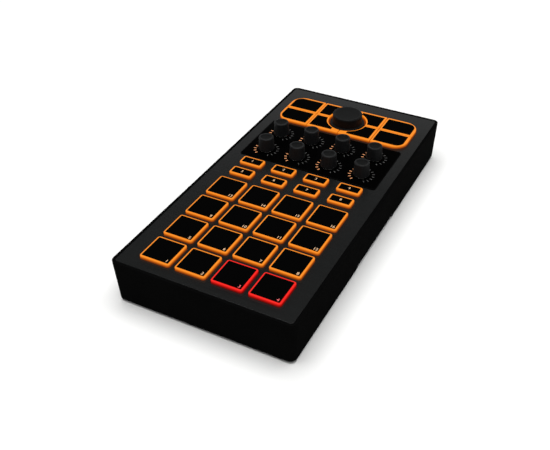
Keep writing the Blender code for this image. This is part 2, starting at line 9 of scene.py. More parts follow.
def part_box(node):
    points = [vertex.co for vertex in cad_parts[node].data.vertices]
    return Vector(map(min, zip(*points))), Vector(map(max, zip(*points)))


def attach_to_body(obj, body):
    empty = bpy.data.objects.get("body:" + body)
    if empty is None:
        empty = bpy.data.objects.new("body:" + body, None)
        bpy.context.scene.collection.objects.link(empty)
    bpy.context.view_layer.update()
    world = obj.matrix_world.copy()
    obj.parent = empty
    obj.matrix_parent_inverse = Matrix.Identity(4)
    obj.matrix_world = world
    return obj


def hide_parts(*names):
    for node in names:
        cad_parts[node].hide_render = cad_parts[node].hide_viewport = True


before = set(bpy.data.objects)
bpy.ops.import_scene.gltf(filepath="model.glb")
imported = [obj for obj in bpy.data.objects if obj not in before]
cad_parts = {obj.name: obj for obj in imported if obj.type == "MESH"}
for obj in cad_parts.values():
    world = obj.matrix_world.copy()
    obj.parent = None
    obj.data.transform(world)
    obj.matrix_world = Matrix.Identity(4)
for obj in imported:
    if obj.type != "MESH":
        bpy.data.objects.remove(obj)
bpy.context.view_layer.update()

bl_info = {
    "name": "Drum Pad Controller",
    "version": (1, 0, 0),
    "blender": (4, 5, 0),
    "location": "3D View > Sidebar > Drum Pad",
    "description": "Builds the finished looks of a desktop drum-pad controller round its packed frame",
    "category": "Object",
}

MM = 0.001
BODY = "body"

# Faces along a corner in plan, a cap's corner, a rolled edge, a post and a wider bore.
CORNER_STEPS = 10
PLAN_STEPS = 6
ROUND_STEPS = 4
POST_SIDES = 32
BORE_SIDES = 48
# Angle in degrees past which an edge of a cap or a knob stays sharp.
CAP_SHARP = 35.0
# Air between parts that fit into each other, and how far a cutting solid passes what it cuts.
CLEARANCE = 0.3 * MM
PAST = 1.0 * MM
# Height of a numeral as a share of its type size.
DIGIT_SHARE = 0.69
# Sine of the height over the horizon, and the brightness of the sky there.
SKY = ((0.0, 1.0), (0.42, 1.0), (0.465, 0.5), (0.495, 0.1), (0.53, 0.02), (1.0, 0.02))


# Colours and numbers -------------------------------------------------------------------------


def linear(hex_colour):
    """The linear red, green and blue of an sRGB hex colour."""
    values = [int(hex_colour[i : i + 2], 16) / 255 for i in (1, 3, 5)]
    return tuple(v / 12.92 if v <= 0.04045 else ((v + 0.055) / 1.055) ** 2.4 for v in values)


def length(name, description, millimetres):
    """A size that is never negative."""
    return FloatProperty(
        name=name, description=description, default=millimetres * MM, min=0.0, unit="LENGTH", precision=5
    )


def place(name, description, millimetres):
    """A position along an axis."""
    return FloatProperty(
        name=name, description=description, default=millimetres * MM, unit="LENGTH", precision=5
    )


def vector(name, description, *metres):
    """Two or three sizes that belong together."""
    return FloatVectorProperty(
        name=name, description=description, default=metres, size=len(metres), unit="LENGTH", precision=5
    )


def turn(name, description, degrees):
    return FloatProperty(name=name, description=description, default=math.radians(degrees), subtype="ANGLE")


def colour(name, description, hex_colour):
    tone = linear(hex_colour)
    return FloatVectorProperty(
        name=name, description=description, default=tone, size=3, min=0.0, max=1.0, subtype="COLOR"
    )


def share(name, description, value):
    return FloatProperty(name=name, description=description, default=value, min=0.0, max=1.0)


def count(name, description, value):
    return IntProperty(name=name, description=description, default=value, min=1)


# Sizes and colours that a user would change --------------------------------------------------


class StageSettings(bpy.types.PropertyGroup):
    floor_size: length("Floor size", "Side of the square floor", 3200.0)
    floor_colour: colour("Floor", "Matt paper white", "#F7F7F6")
    softbox_size: length("Softbox size", "Side of the square light overhead", 2000.0)
    softbox_height: length("Softbox height", "Height of the light over the floor", 2200.0)
    softbox_power: FloatProperty(
        name="Softbox power", description="Output of the light", default=61.0, unit="POWER"
    )
    sky_strength: share("Sky strength", "Brightness of the pale band low on the horizon", 0.9)
    lens: FloatProperty(name="Lens", description="Focal length on a 36 mm sensor", default=50.496)
    shift: FloatVectorProperty(
        name="Shift", description="Framing shift of the lens", default=(-0.0392, -0.0364), size=2
    )
    camera_place: vector("Camera place", "Where the camera stands", 0.19615, -0.39128, 0.33341)
    camera_turn: FloatVectorProperty(
        name="Camera turn",
        description="How the camera is turned",
        default=[math.radians(a) for a in (53.7297, -0.0906, 26.5544)],
        subtype="EULER",
    )


class TraySettings(bpy.types.PropertyGroup):
    corner: length("Corner", "Radius of the upright corners", 4.2)
    draft: length("Draft", "How far each wall leans in from the rim to the base", 1.2)
    edge: length("Edge", "Radius of the rim's and the base's outer edge", 0.5)
    rim: length("Rim", "Width of the rim round the panel", 1.9)
    wall: length("Wall", "Thickness of the wall under the ledge", 3.7)
    floor: length("Floor", "Thickness of the base", 3.0)
    inner_corner: length("Inner corner", "Radius of the corners inside the wall", 1.5)
    ledge_drop: length("Ledge drop", "Depth of the ledge that the panel lies on", 2.0)
    notch_length: length("Notch length", "Length of the notch low in each long side", 62.0)
    notch_height: length("Notch height", "Height of the notch", 2.0)
    notch_depth: length("Notch depth", "Depth of the notch", 1.8)
    post_x: place("Post spacing", "Distance of the screw posts from the middle", 53.5)
    post_rows: vector("Post rows", "Rows of screw posts", -0.112, 0.002, 0.115)
    post_height: length("Post height", "Top of the posts over the ground", 23.7)
    post_radius: length("Post radius", "Radius of the posts", 3.4)
    boss_radius: length("Boss radius", "Radius of the bosses under the panel that the screws bite into", 3.0)
    shell: colour("Shell", "Moulded black plastic", "#080808")
    grain: length("Grain", "Size of the spark-eroded grain, drawn coarser than the real 0.2 mm", 0.7)


class PanelSettings(bpy.types.PropertyGroup):
    gap: length("Gap", "Slit round each cap", 0.35)
    thickness: length("Thickness", "Thickness of the panel", 1.5)
    edge: length("Edge", "Radius of the panel's edges", 0.12)
    metal: colour("Metal", "Dark brushed finish", "#151616")
    brushing: length("Brushing", "Spacing of the brush lines, drawn coarser than the real 0.1 mm", 0.45)
    plate_edge: length("Plate edge", "Radius of the gloss plate's edge", 0.2)
    plate_corner: length("Plate corner", "Radius of the gloss plate's corners", 1.8)
    plate: colour("Plate", "Polished black acrylic", "#020202")
    hole: length("Hole", "Radius of the hole round each bushing", 5.2)
    ring: length("Ring", "Radius of the ring of light windows", 8.48)
    windows: count("Windows", "Light windows in each ring", 15)
    windows_lit: count("Windows lit", "Windows that shine, from the front left round", 4)
    windows_dim: count("Windows dim", "Windows that shine dimly, after the bright ones", 1)
    window_light: colour("Window light", "Light of a bright window", "#FFAC70")
    window_dim_light: colour("Dim window light", "Light of a dim window", "#D98A50")
    window_step: turn("Window step", "Angle from one window to the next", 21.0)
    window_first: turn("First window", "Angle of the first window from the front", 33.0)
    window_length: length("Window length", "Length of a window outwards", 1.9)
    window_width: length("Window width", "Width of a window", 0.62)
    window_proud: length("Window proud", "How far a window stands out of the plate", 0.04)


class CapSettings(bpy.types.PropertyGroup):
    flange: length("Flange", "How far the flange under the panel stands out", 0.8)
    flange_height: length("Flange height", "Thickness of the flange", 2.0)
    step: length("Step", "How far the black face stands over the cap", 0.2)
    edge: length("Edge", "Radius of the cap's top edge", 0.45)
    foot_glow: share("Foot glow", "Share of the light that a cap's wall still gives at the panel", 0.22)
    pad_corner: length("Pad corner", "Radius of a pad's corners", 1.6)
    pad_face_corner: length("Pad face corner", "Radius of a pad's face corners", 0.4)
    least_corner: length("Least corner", "Smallest radius that a shrunken cap keeps at its corners", 0.2)
    seam_corner: length("Seam corner", "Radius of a button's face corners and a key's inner corners", 0.3)
    pad_border: length("Pad border", "Lit border round a pad's face", 1.15)
    button_border_x: length("Button border, side", "Lit border beside a button's face", 1.35)
    button_border_y: length("Button border, front", "Lit border before and behind a button's face", 1.35)
    key_corner: length("Key block corner", "Radius of the key block's corners", 10.0)
    key_face_corner: length("Key face corner", "Radius of an outer key's face corner", 5.8)
    key_seam: length("Key seam", "Half of the slit between two keys", 0.35)
    key_arc: length("Key arc", "Radius of the round opening for the dial", 14.6)
    key_border: length("Key border", "Lit border on the outer sides of the key block", 1.9)
    key_border_y: length("Key border, front", "Lit border on the front and back of the key block", 2.1)
    key_seam_border: length("Key seam border", "Lit border beside a seam", 1.75)
    key_arc_border: length("Key arc border", "Lit border along the round opening", 1.05)
    key_arc_end: length("Key arc end", "Where a face stops short of the middle of the round opening", 6.3)
    face_gap: length("Face gap", "Slit round a black face", 0.03)
    digit_height: length("Digit height", "Height of a pad's number", 2.3)
    button_digit_height: length("Button digit height", "Height of a button's number", 2.2)
    orange: colour("Orange", "Light of the caps near their lamp", "#FF8F14")
    deep_orange: colour("Deep orange", "Light of the caps far from their lamp", "#F25A08")
    red: colour("Red", "Light of the two red pads near their lamp", "#FC1612")
    deep_red: colour("Deep red", "Light of the two red pads far from their lamp", "#C80808")
    digit: colour("Digit", "Light of the numbers", "#FFD2A4")
    milk: colour("Milk", "Silicone where no light comes through", "#2A231A")
    face: colour("Face", "Opaque black film", "#040404")


class KnobSettings(bpy.types.PropertyGroup):
    foot_radius: length("Foot radius", "Radius of a small knob at its foot", 5.85)
    top_radius: length("Top radius", "Radius of a small knob at its top", 5.3)
    edge: length("Edge", "Radius of the knob's top edge", 0.5)
    lip: length("Lip", "Width of the raised ring on the top", 0.75)
    dish: length("Dish", "Depth of the hollow in the top", 0.4)
    bore: length("Bore", "Radius of the bore for the shaft", 3.3)
    roof: length("Roof", "Thickness over the bore", 2.2)
    dial_skirt: length("Dial skirt", "Radius of the dial's skirt", 13.3)
    dial_skirt_height: length("Dial skirt height", "Thickness of the dial's skirt", 1.1)
    dial_radius: length("Dial radius", "Radius of the dial's cap", 11.3)
    dial_edge: length("Dial edge", "Radius of the dial's top edge", 0.9)
    dial_roof: length("Dial roof", "Thickness over the dial's bore", 2.4)
    rubber: colour("Rubber", "Soft-touch dark grey", "#101112")
    dial_rubber: colour("Dial rubber", "Soft-touch dark grey of the dial", "#0C0D0D")
    # Painted shade: a darker colour for the middle of every knob's top, standing for the shade in the dish.
    insert: colour("Dish shade", "Matt centre of every knob's top", "#060707")


class PartSettings(bpy.types.PropertyGroup):
    foot_radius: length("Foot radius", "Radius of a rubber foot", 6.0)
    screw_head: length("Screw head", "Radius of a screw's head", 2.75)
    screw_shank: length("Screw shank", "Radius of a screw's thread", 1.45)
    screw_height: length("Screw height", "Thickness of a screw's head", 1.7)
    screw_head_top: place("Screw seat", "Height of the seat that a screw's head bears on", 3.9)
    screw_length: length("Screw length", "Length of a screw's thread", 24.0)
    socket_shell: length("Socket shell", "Thickness of the socket's folded shell", 0.5)
    socket_hollow: length("Socket hollow", "Depth of the socket's mouth", 9.0)
    socket_chamfer: length("Socket chamfer", "Chamfer on the socket's two upper corners", 2.0)
    board_thickness: length("Board thickness", "Thickness of the circuit board", 1.6)
    can_half: length("Can half width", "Half the width of an encoder's can", 6.0)
    can_top: place("Can top", "Top of an encoder's can over the ground", 26.3)
    bushing: length("Bushing", "Radius of the thread's crest on a bushing", 4.5)
    bushing_bore: length("Bushing bore", "Radius of the bore that a shaft turns in", 3.6)
    bushing_floor: place("Bushing floor", "Bottom of the bore over the ground", 21.5)
    dial_bushing_sink: length("Dial bushing sink", "How far the dial's bushing stays under the dial", 1.1)
    shaft: length("Shaft", "Radius of a shaft", 3.0)
    shaft_flat: length("Shaft flat", "Length of the flat on a shaft's end", 6.0)
    diode: vector("Diode", "Half length, half width and height", 0.0016, 0.0014, 0.0008)
    diode_offset: length("Diode offset", "How far a diode sits beside its switch", 6.0)
    mat_thickness: length("Mat thickness", "Thickness of the rubber mat", 1.0)
    dome: vector("Dome", "Radius of a dome at its foot and top", 0.0036, 0.002)
    inner_switch: vector("Inner switch", "Where an inner key presses, from the dial's axis", 0.0185, 0.0132)
    steel: colour("Steel", "Bright tin or nickel plating", "#C9C8C4")
    screw: colour("Screw", "Black zinc on a screw", "#2B2B2D")


SETTINGS = {
    "drum_stage": StageSettings,
    "drum_tray": TraySettings,
    "drum_panel": PanelSettings,
    "drum_caps": CapSettings,
    "drum_knobs": KnobSettings,
    "drum_parts": PartSettings,
}


# Shapes --------------------------------------------------------------------------------------


def rounded_rectangle(half_x, half_y, radii, steps=CORNER_STEPS, centre=(0.0, 0.0)):
    """An anticlockwise outline. radii is one radius, or one for each corner from +X +Y round to +X -Y."""
    if not isinstance(radii, (tuple, list)):
        radii = (radii,) * 4
    points = []
    for quarter, (sign_x, sign_y) in enumerate(((1, 1), (-1, 1), (-1, -1), (1, -1))):
        radius = radii[quarter]
        middle = (centre[0] + sign_x * (half_x - radius), centre[1] + sign_y * (half_y - radius))
        for step in range(steps + 1):
            angle = math.radians(90 * (quarter + step / steps))
            points.append((middle[0] + radius * math.cos(angle), middle[1] + radius * math.sin(angle)))
    return points


def rectangle_plan(centre, half, corner, least=None):
    """An outline as a function of its growth. The corners grow with it where a least radius is given."""

    def plan(growth):
        radius = corner if least is None else max(corner + growth, least)
        return rounded_rectangle(half[0] + growth, half[1] + growth, radius, PLAN_STEPS, centre)

    return plan


def circle(radius, sides, centre=(0.0, 0.0)):
    angles = [2 * math.pi * i / sides for i in range(sides)]
    return [(centre[0] + radius * math.cos(a), centre[1] + radius * math.sin(a)) for a in angles]


def quarter_round(radius):
    """(inset, rise) pairs that roll a wall over into a flat top."""
    angles = [math.pi / 2 * i / ROUND_STEPS for i in range(ROUND_STEPS + 1)]
    return [(radius * (1 - math.cos(a)), radius * math.sin(a)) for a in angles]


def skin(solid, loops):
    """Adds one closed solid through loops of points in space, with the same number of points in each."""
    rows = [[solid.verts.new(point) for point in loop] for loop in loops]
    faces = [solid.faces.new(rows[0]), solid.faces.new(rows[-1])]
    for lower, upper in zip(rows, rows[1:]):
        for i in range(len(lower)):
            after = (i + 1) % len(lower)
            faces.append(solid.faces.new((lower[i], lower[after], upper[after], upper[i])))
    bmesh.ops.recalc_face_normals(solid, faces=faces)
    return solid


def loft(solid, sections):
    """Adds one closed solid: sections is a list of (outline, z)."""
    return skin(solid, [[(x, y, z) for x, y in outline] for outline, z in sections])


def lofted(sections):
    return loft(bmesh.new(), sections)


def turned(profile, sides=POST_SIDES, places=((0.0, 0.0),)):
    """One closed solid of revolution at each place: profile is a list of (radius, z)."""
    solid = bmesh.new()
    for centre in places:
        loft(solid, [(circle(radius, sides, centre), z) for radius, z in profile])
    return solid


def block(solid, low, high):
    outline = [(high[0], high[1]), (low[0], high[1]), (low[0], low[1]), (high[0], low[1])]
    return loft(solid, [(outline, low[2]), (outline, high[2])])


def put_in_scene(name, data):
    made = bpy.data.objects.new(name, data)
    bpy.context.scene.collection.objects.link(made)
    return made


def smooth(mesh, sharp):
    """Smooth shading where the faces meet flatter than the sharp angle, in degrees."""
    mesh.shade_smooth()
    mesh.set_sharp_from_angle(angle=math.radians(sharp))


def new_piece(name, solid, finish, sharp=30.0):
    """A linked mesh object at the origin, made from a solid that it uses up."""
    mesh = bpy.data.meshes.new(name)
    solid.to_mesh(mesh)
    solid.free()
    mesh.materials.append(finish)
    smooth(mesh, sharp)
    return put_in_scene(name, mesh)


def plain_mesh(made):
    """The mesh of an object as its modifiers or its text leave it."""
    bpy.context.view_layer.update()
    return bpy.data.meshes.new_from_object(made.evaluated_get(bpy.context.evaluated_depsgraph_get()))


def bake_modifiers(piece):
    mesh = plain_mesh(piece)
    piece.modifiers.clear()
    piece.data = mesh


def settle(piece, sharp=30.0):
    """Bakes the modifiers and shades the result smooth up to the sharp angle."""
    bake_modifiers(piece)
    smooth(piece.data, sharp)
    return piece


def combine(piece, operation, solid):
    """Cuts a solid away from a piece, or joins it on."""
    helper = new_piece(f"{piece.name}_tool", solid, piece.data.materials[0])
    step = piece.modifiers.new(operation.title(), "BOOLEAN")
    step.operation = operation
    step.solver = "EXACT"
    step.object = helper
    settle(piece)
    bpy.data.objects.remove(helper)


def soften_edges(piece, width):
    """Rounds every sharp edge of a piece by the same small radius."""
    step = piece.modifiers.new("Soft edges", "BEVEL")
    step.width = width
    step.segments = 2
    step.limit_method = "ANGLE"
    step.angle_limit = math.radians(50)
    step.use_clamp_overlap = True
    settle(piece, 40.0)


def attach(piece, body, stands_for=()):
    """The last step of a piece: true shading on its flat faces, then its body, and the CAD nodes that it
    stands for are hidden.
    """
    weigh = piece.modifiers.new("True flats", "WEIGHTED_NORMAL")
    weigh.weight = 90
    weigh.keep_sharp = True
    bake_modifiers(piece)
    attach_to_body(piece, body)
    if stands_for:
        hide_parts(*stands_for)
    return piece


def plan_of(low, high, inset=0.0):
    """Centre and half sizes of a box in plan."""
    centre = (low + high) / 2
    return (centre.x, centre.y), ((high.x - low.x) / 2 - inset, (high.y - low.y) / 2 - inset)


def middle_of(node):
    low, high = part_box(node)
    return (low + high) / 2


def points_of(nodes, z=0.0):
    """The middle of each node in plan, at one height."""
    return [(middle_of(node).x, middle_of(node).y, z) for node in nodes]


# Repeated parts ------------------------------------------------------------------------------


def add_node(tree, kind, values=None, links=None, **settings):
    """Adds one node with its own settings, its input values, and links from other nodes' outputs."""
    node = tree.nodes.new(kind)
    for name, value in settings.items():
        setattr(node, name, value)
    for socket, value in (values or {}).items():
        node.inputs[socket].default_value = value
    for socket, source in (links or {}).items():
        tree.links.new(source, node.inputs[socket])
    return node


def new_tree(name, inputs):
    """An empty Geometry Nodes tree with a geometry in and out and the named inputs."""
    tree = bpy.data.node_groups.new(name, "GeometryNodeTree")
    tree.interface.new_socket("Geometry", in_out="INPUT", socket_type="NodeSocketGeometry")
    tree.interface.new_socket("Geometry", in_out="OUTPUT", socket_type="NodeSocketGeometry")
    for label, kind in inputs.items():
        tree.interface.new_socket(label, in_out="INPUT", socket_type=f"NodeSocket{kind}")
    return tree


def close_tree(tree, geometry, material):
    """Ends a tree in Realize Instances and Set Material, so that the result is one plain mesh."""
    real = add_node(tree, "GeometryNodeRealizeInstances", links={"Geometry": geometry})
    dressed = {"Geometry": real.outputs["Geometry"], "Material": material}
    painted = add_node(tree, "GeometryNodeSetMaterial", links=dressed)
    add_node(tree, "NodeGroupOutput", links={"Geometry": painted.outputs["Geometry"]})


def window_ring_tree():
    """Rings of rounded light windows round every point of the incoming mesh."""
    sizes = ("Ring radius", "First angle", "Step angle", "Window length", "Window width", "Depth", "Corner")
    inputs = {label: "Float" for label in sizes} | {"Windows": "Int", "Finish": "Material"}
    tree = new_tree("Light window ring", inputs)
    given = add_node(tree, "NodeGroupInput").outputs

    links = {"Width": given["Window width"], "Height": given["Window length"]}
    outline = add_node(tree, "GeometryNodeCurvePrimitiveQuadrilateral", links=links)
    values = {"Count": 3, "Limit Radius": True}
    links = {"Curve": outline.outputs["Curve"], "Radius": given["Corner"]}
    rounded = add_node(tree, "GeometryNodeFilletCurve", values, links, mode="POLY")
    flat = add_node(tree, "GeometryNodeFillCurve", mode="NGONS", links={"Curve": rounded.outputs["Curve"]})
    links = {"Mesh": flat.outputs["Mesh"], "Offset Scale": given["Depth"]}
    raised = add_node(tree, "GeometryNodeExtrudeMesh", {"Individual": False}, links)
    under = add_node(tree, "GeometryNodeFlipFaces", links={"Mesh": flat.outputs["Mesh"]})
    shell = add_node(tree, "GeometryNodeJoinGeometry", links={"Geometry": raised.outputs["Mesh"]})
    tree.links.new(under.outputs["Mesh"], shell.inputs["Geometry"])
    links = {"Geometry": shell.outputs[0]}
    window = add_node(tree, "GeometryNodeMergeByDistance", {"Distance": 0.001 * MM}, links)

    # Angles run clockwise from the front, so a turn about Z is negative and starts from -Y.
    spots = add_node(tree, "GeometryNodePoints", links={"Count": given["Windows"]})
    index = add_node(tree, "GeometryNodeInputIndex")
    links = {0: index.outputs["Index"], 1: given["Step angle"], 2: given["First angle"]}
    angle = add_node(tree, "ShaderNodeMath", links=links, operation="MULTIPLY_ADD")
    clockwise = add_node(tree, "ShaderNodeMath", {1: -1.0}, {0: angle.outputs[0]}, operation="MULTIPLY")
    rotation = add_node(tree, "ShaderNodeCombineXYZ", links={"Z": clockwise.outputs[0]})
    outwards = add_node(tree, "ShaderNodeMath", {1: -1.0}, {0: given["Ring radius"]}, operation="MULTIPLY")
    arm = add_node(tree, "ShaderNodeCombineXYZ", links={"Y": outwards.outputs[0]})
    links = {"Vector": arm.outputs[0], "Rotation": rotation.outputs[0]}
    swung = add_node(tree, "ShaderNodeVectorRotate", links=links, rotation_type="EULER_XYZ")
    links = {"Geometry": spots.outputs[0], "Position": swung.outputs[0]}
    placed = add_node(tree, "GeometryNodeSetPosition", links=links)

    links = {"Points": placed.outputs["Geometry"], "Instance": window.outputs["Geometry"]}
    links["Rotation"] = rotation.outputs[0]
    ring = add_node(tree, "GeometryNodeInstanceOnPoints", links=links)
    links = {"Points": given["Geometry"], "Instance": ring.outputs["Instances"]}
    rings = add_node(tree, "GeometryNodeInstanceOnPoints", links=links)
    close_tree(tree, rings.outputs["Instances"], given["Finish"])
    return tree


def repeat_tree():
    """The same part on every point of the incoming mesh, each turned by its own fixed random angle."""
    tree = new_tree("Repeat part", {"Part": "Object", "Turn": "Float", "Seed": "Int", "Finish": "Material"})
    given = add_node(tree, "NodeGroupInput").outputs
    part = add_node(tree, "GeometryNodeObjectInfo", links={"Object": given["Part"]})
    links = {"Max": given["Turn"], "Seed": given["Seed"]}
    angle = add_node(tree, "FunctionNodeRandomValue", links=links, data_type="FLOAT")
    rotation = add_node(tree, "ShaderNodeCombineXYZ", links={"Z": angle.outputs["Value"]})
    links = {"Points": given["Geometry"], "Instance": part.outputs["Geometry"]}
    links["Rotation"] = rotation.outputs[0]
    copies = add_node(tree, "GeometryNodeInstanceOnPoints", links=links)
    close_tree(tree, copies.outputs["Instances"], given["Finish"])
    return tree


def grow(name, points, tree, inputs):
    """Runs a tree on a mesh of loose points and keeps what it makes as a plain mesh."""
    mesh = bpy.data.meshes.new(name)
    mesh.from_pydata(points, [], [])
    piece = put_in_scene(name, mesh)
    step = piece.modifiers.new(tree.name, "NODES")
    step.node_group = tree
    for item in tree.interface.items_tree:
        if item.in_out == "INPUT" and item.name in inputs:
            step[item.identifier] = inputs[item.name]
    return settle(piece)


def repeat(name, part, points, finish, spin=0.0, seed=0):
    """Copies of one part, each at a point, as one mesh. The part itself is used up."""
    tree = bpy.data.node_groups.get("Repeat part") or repeat_tree()
    made = grow(name, points, tree, {"Part": part, "Turn": spin, "Seed": seed, "Finish": finish})
    bpy.data.objects.remove(part)
    return made


# Finishes ------------------------------------------------------------------------------------


def new_finish(name, tone, roughness, metallic=0.0, specular=0.5):
    """A material with one Principled shader. Returns the material, its tree and the shader."""
    made = bpy.data.materials.new(name)
    made.use_nodes = True
    shader = made.node_tree.nodes["Principled BSDF"]
    shader.inputs["Base Color"].default_value = (*tone, 1.0)
    shader.inputs["Roughness"].default_value = roughness
    shader.inputs["Metallic"].default_value = metallic
    shader.inputs["Specular IOR Level"].default_value = specular
    return made, made.node_tree, shader


def grain_noise(tree, spacing, detail=2.0, stretch=(1.0, 1.0, 1.0)):
    """Noise on Object coordinates whose cells are spacing wide, multiplied along each axis by stretch."""
    where = add_node(tree, "ShaderNodeTexCoord")
    values = {"Scale": [1 / (spacing * s) for s in stretch]}
    mapped = add_node(tree, "ShaderNodeMapping", values, {"Vector": where.outputs["Object"]})
    values = {"Scale": 1.0, "Detail": detail}
    return add_node(tree, "ShaderNodeTexNoise", values, {"Vector": mapped.outputs["Vector"]}).outputs["Fac"]


def between(tree, driver, first, last):
    """A colour between two colours, by a pattern."""
    values = {6: (*first, 1.0), 7: (*last, 1.0)}
    return add_node(tree, "ShaderNodeMix", values, {0: driver}, data_type="RGBA").outputs[2]


def spread(tree, driver, low, high):
    """A number between two numbers, by a pattern."""
    values = {"To Min": low, "To Max": high}
    return add_node(tree, "ShaderNodeMapRange", values, {"Value": driver}).outputs["Result"]


def add_bump(tree, shader, driver, height, strength):
    values = {"Strength": strength, "Distance": height}
    bump = add_node(tree, "ShaderNodeBump", values, {"Height": driver})
    tree.links.new(bump.outputs["Normal"], shader.inputs["Normal"])


def shade(tone, factor):
    return tuple(min(1.0, c * factor) for c in tone)


def grained(name, tone, grain, shades, gloss, bump=None, cloud=None, **inputs):
    """A finish whose grain varies its roughness and relief. Its tone follows the grain, or a broader cloud.

    grain and cloud are spacing, detail and stretch. shades and gloss are the lowest and highest tone
    factor and roughness. bump is height and strength.
    """
    made, tree, shader = new_finish(name, tone, sum(gloss) / 2, **inputs)
    marks = grain_noise(tree, *grain)
    driver = grain_noise(tree, *cloud) if cloud else marks
    tinted = between(tree, driver, shade(tone, shades[0]), shade(tone, shades[1]))
    tree.links.new(tinted, shader.inputs["Base Color"])
    tree.links.new(spread(tree, marks, *gloss), shader.inputs["Roughness"])
    if bump:
        add_bump(tree, shader, marks, *bump)
    return made


def moulded_abs(tray):
    """Black ABS from a spark-eroded mould: very dark and matt, with a fine even grain and almost no gloss."""
    grain, cloud, bump = (tray.grain, 3.0), (24 * MM,), (0.05 * MM, 0.35)
    return grained(
        "spark_eroded_black_abs", tray.shell, grain, (0.8, 1.25), (0.5, 0.7), bump, cloud, specular=0.0005
    )


def brushed_panel(panel):
    """Dark facing brushed from side to side: short streaks in tone and gloss, brighter where light grazes."""
    streaks = (panel.brushing, 3.0, (60.0, 1.0, 1.0))
    bump = (0.01 * MM, 0.25)
    return grained("dark_brushed_facing", panel.metal, streaks, (0.82, 1.2), (0.2, 0.29), bump, specular=0.25)


def gloss_acrylic(panel):
    """Polished black acrylic: a deep black with a sharp gloss and a faint long waviness from moulding."""
    waves, bump = (18 * MM, 1.0), (0.02 * MM, 0.1)
    return grained(
        "polished_black_acrylic", panel.plate, waves, (0.7, 1.3), (0.08, 0.12), bump, specular=0.035
    )


def face_film(caps):
    """Opaque black paint on silicone, laser-cut round the numbers: dead matt, so black at any angle."""
    speck, bump = (0.4 * MM,), (0.01 * MM, 0.2)
    return grained(
        "opaque_black_face_paint", caps.face, speck, (0.7, 1.4), (0.6, 0.8), bump, specular=0.001
    )


def soft_touch(name, tone, specular):
    """Soft-touch rubber paint: dark grey and velvety, with a very fine stipple and a broad dim highlight."""
    stipple, cloud, bump = (0.45 * MM,), (5 * MM,), (0.02 * MM, 0.3)
    made = grained(name, tone, stipple, (0.86, 1.16), (0.42, 0.58), bump, cloud, specular=specular)
    shader = made.node_tree.nodes["Principled BSDF"]
    shader.inputs["Sheen Weight"].default_value = 0.01
    shader.inputs["Sheen Roughness"].default_value = 0.4
    return made


def plated(name, tone, roughness, spacing, stretch=(1.0, 1.0, 1.0)):
    """Plated metal: full reflections, broken up by fine rolling or turning marks."""
    gloss = (roughness * 0.75, roughness * 1.35)
    return grained(name, tone, (spacing, 3.0, stretch), (0.82, 1.08), gloss, (0.01 * MM, 0.15), metallic=1.0)


def plain_rubber(name, tone, roughness, spacing):
    """Solid rubber: dull, slightly uneven in tone, with a dusty grain."""
    gloss = (roughness * 0.88, min(1.0, roughness * 1.12))
    return grained(name, tone, (spacing, 3.0), (0.75, 1.3), gloss, (0.03 * MM, 0.3), specular=0.2)


def socket_nylon(name, tone):
    """Glass-filled nylon of a socket's insulator: satin, with faint flow marks."""
    flow = (0.6 * MM, 2.0, (1.0, 4.0, 1.0))
    return grained(name, tone, flow, (0.85, 1.12), (0.42, 0.6), specular=0.3)


def solder_mask():
    """Green solder mask over woven glass: semi-gloss, with the weave just showing through as a fine check."""
    made, tree, shader = new_finish("green_solder_mask", linear("#0D4A22"), 0.35)
    where = add_node(tree, "ShaderNodeTexCoord").outputs["Object"]
    weave_pitch = 0.6 * MM
    weave = add_node(tree, "ShaderNodeTexChecker", {"Scale": 1 / weave_pitch}, {"Vector": where})
    tinted = between(tree, weave.outputs["Fac"], linear("#0B421E"), linear("#105528"))
    tree.links.new(tinted, shader.inputs["Base Color"])
    tree.links.new(spread(tree, grain_noise(tree, 2 * MM), 0.28, 0.42), shader.inputs["Roughness"])
    return made


def lit_silicone(name, light, deep_light, milk):
    """Milky silicone rubber lit from within: a saturated glow on top, weaker and deeper down its wall."""
    made, tree, shader = new_finish(name, milk, 0.45, specular=0.1)
    glow = add_node(tree, "ShaderNodeAttribute", attribute_name="lamp_share").outputs["Fac"]
    tree.links.new(between(tree, glow, deep_light, light), shader.inputs["Emission Color"])
    mottle = spread(tree, grain_noise(tree, 3 * MM, 1.0), 0.94, 1.04)
    power = add_node(tree, "ShaderNodeMath", links={0: glow, 1: mottle}, operation="MULTIPLY")
    tree.links.new(power.outputs[0], shader.inputs["Emission Strength"])
    add_bump(tree, shader, grain_noise(tree, 0.5 * MM), 0.01 * MM, 0.15)
    return made


def glowing(name, light, strength, milk="#3A3430"):
    """A small window of frosted resin with a lamp behind it: softly mottled in brightness."""
    made, tree, shader = new_finish(name, linear(milk), 0.4, specular=0.3)
    shader.inputs["Emission Color"].default_value = (*light, 1.0)
    power = spread(tree, grain_noise(tree, 0.8 * MM, 1.0), strength * 0.85, strength * 1.15)
    tree.links.new(power, shader.inputs["Emission Strength"])
    return made


def frosted_window():
    """Frosted resin with no lamp on: a dull grey white."""
    made, tree, shader = new_finish("unlit_frosted_window", linear("#4A4A49"), 0.45, specular=0.1)
    tinted = between(tree, grain_noise(tree, 0.8 * MM, 1.0), linear("#444443"), linear("#555554"))
    tree.links.new(tinted, shader.inputs["Base Color"])
    return made


# Pieces --------------------------------------------------------------------------------------


def numbered(name, last, digits=1):
    return [f"{name}_{number:0{digits}d}" for number in range(1, last + 1)]


PADS = numbered("pad", 16, 2)
BUTTONS = numbered("select_button", 8)
KEYS = numbered("function_key", 8)
KNOBS = numbered("encoder_knob", 8)
SHAFTS = numbered("encoder_shaft", 8) + ["dial_shaft"]
FEET = numbered("rubber_foot", 4)
RED_PADS = ("pad_03", "pad_04")


def post_places(tray):
    return [(side * tray.post_x, y) for y in tray.post_rows for side in (-1, 1)]


def cap_plan(node, caps):
    """Centre and half sizes of a cap as it shows through the panel, without its flange."""
    return plan_of(*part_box(node), caps.flange)


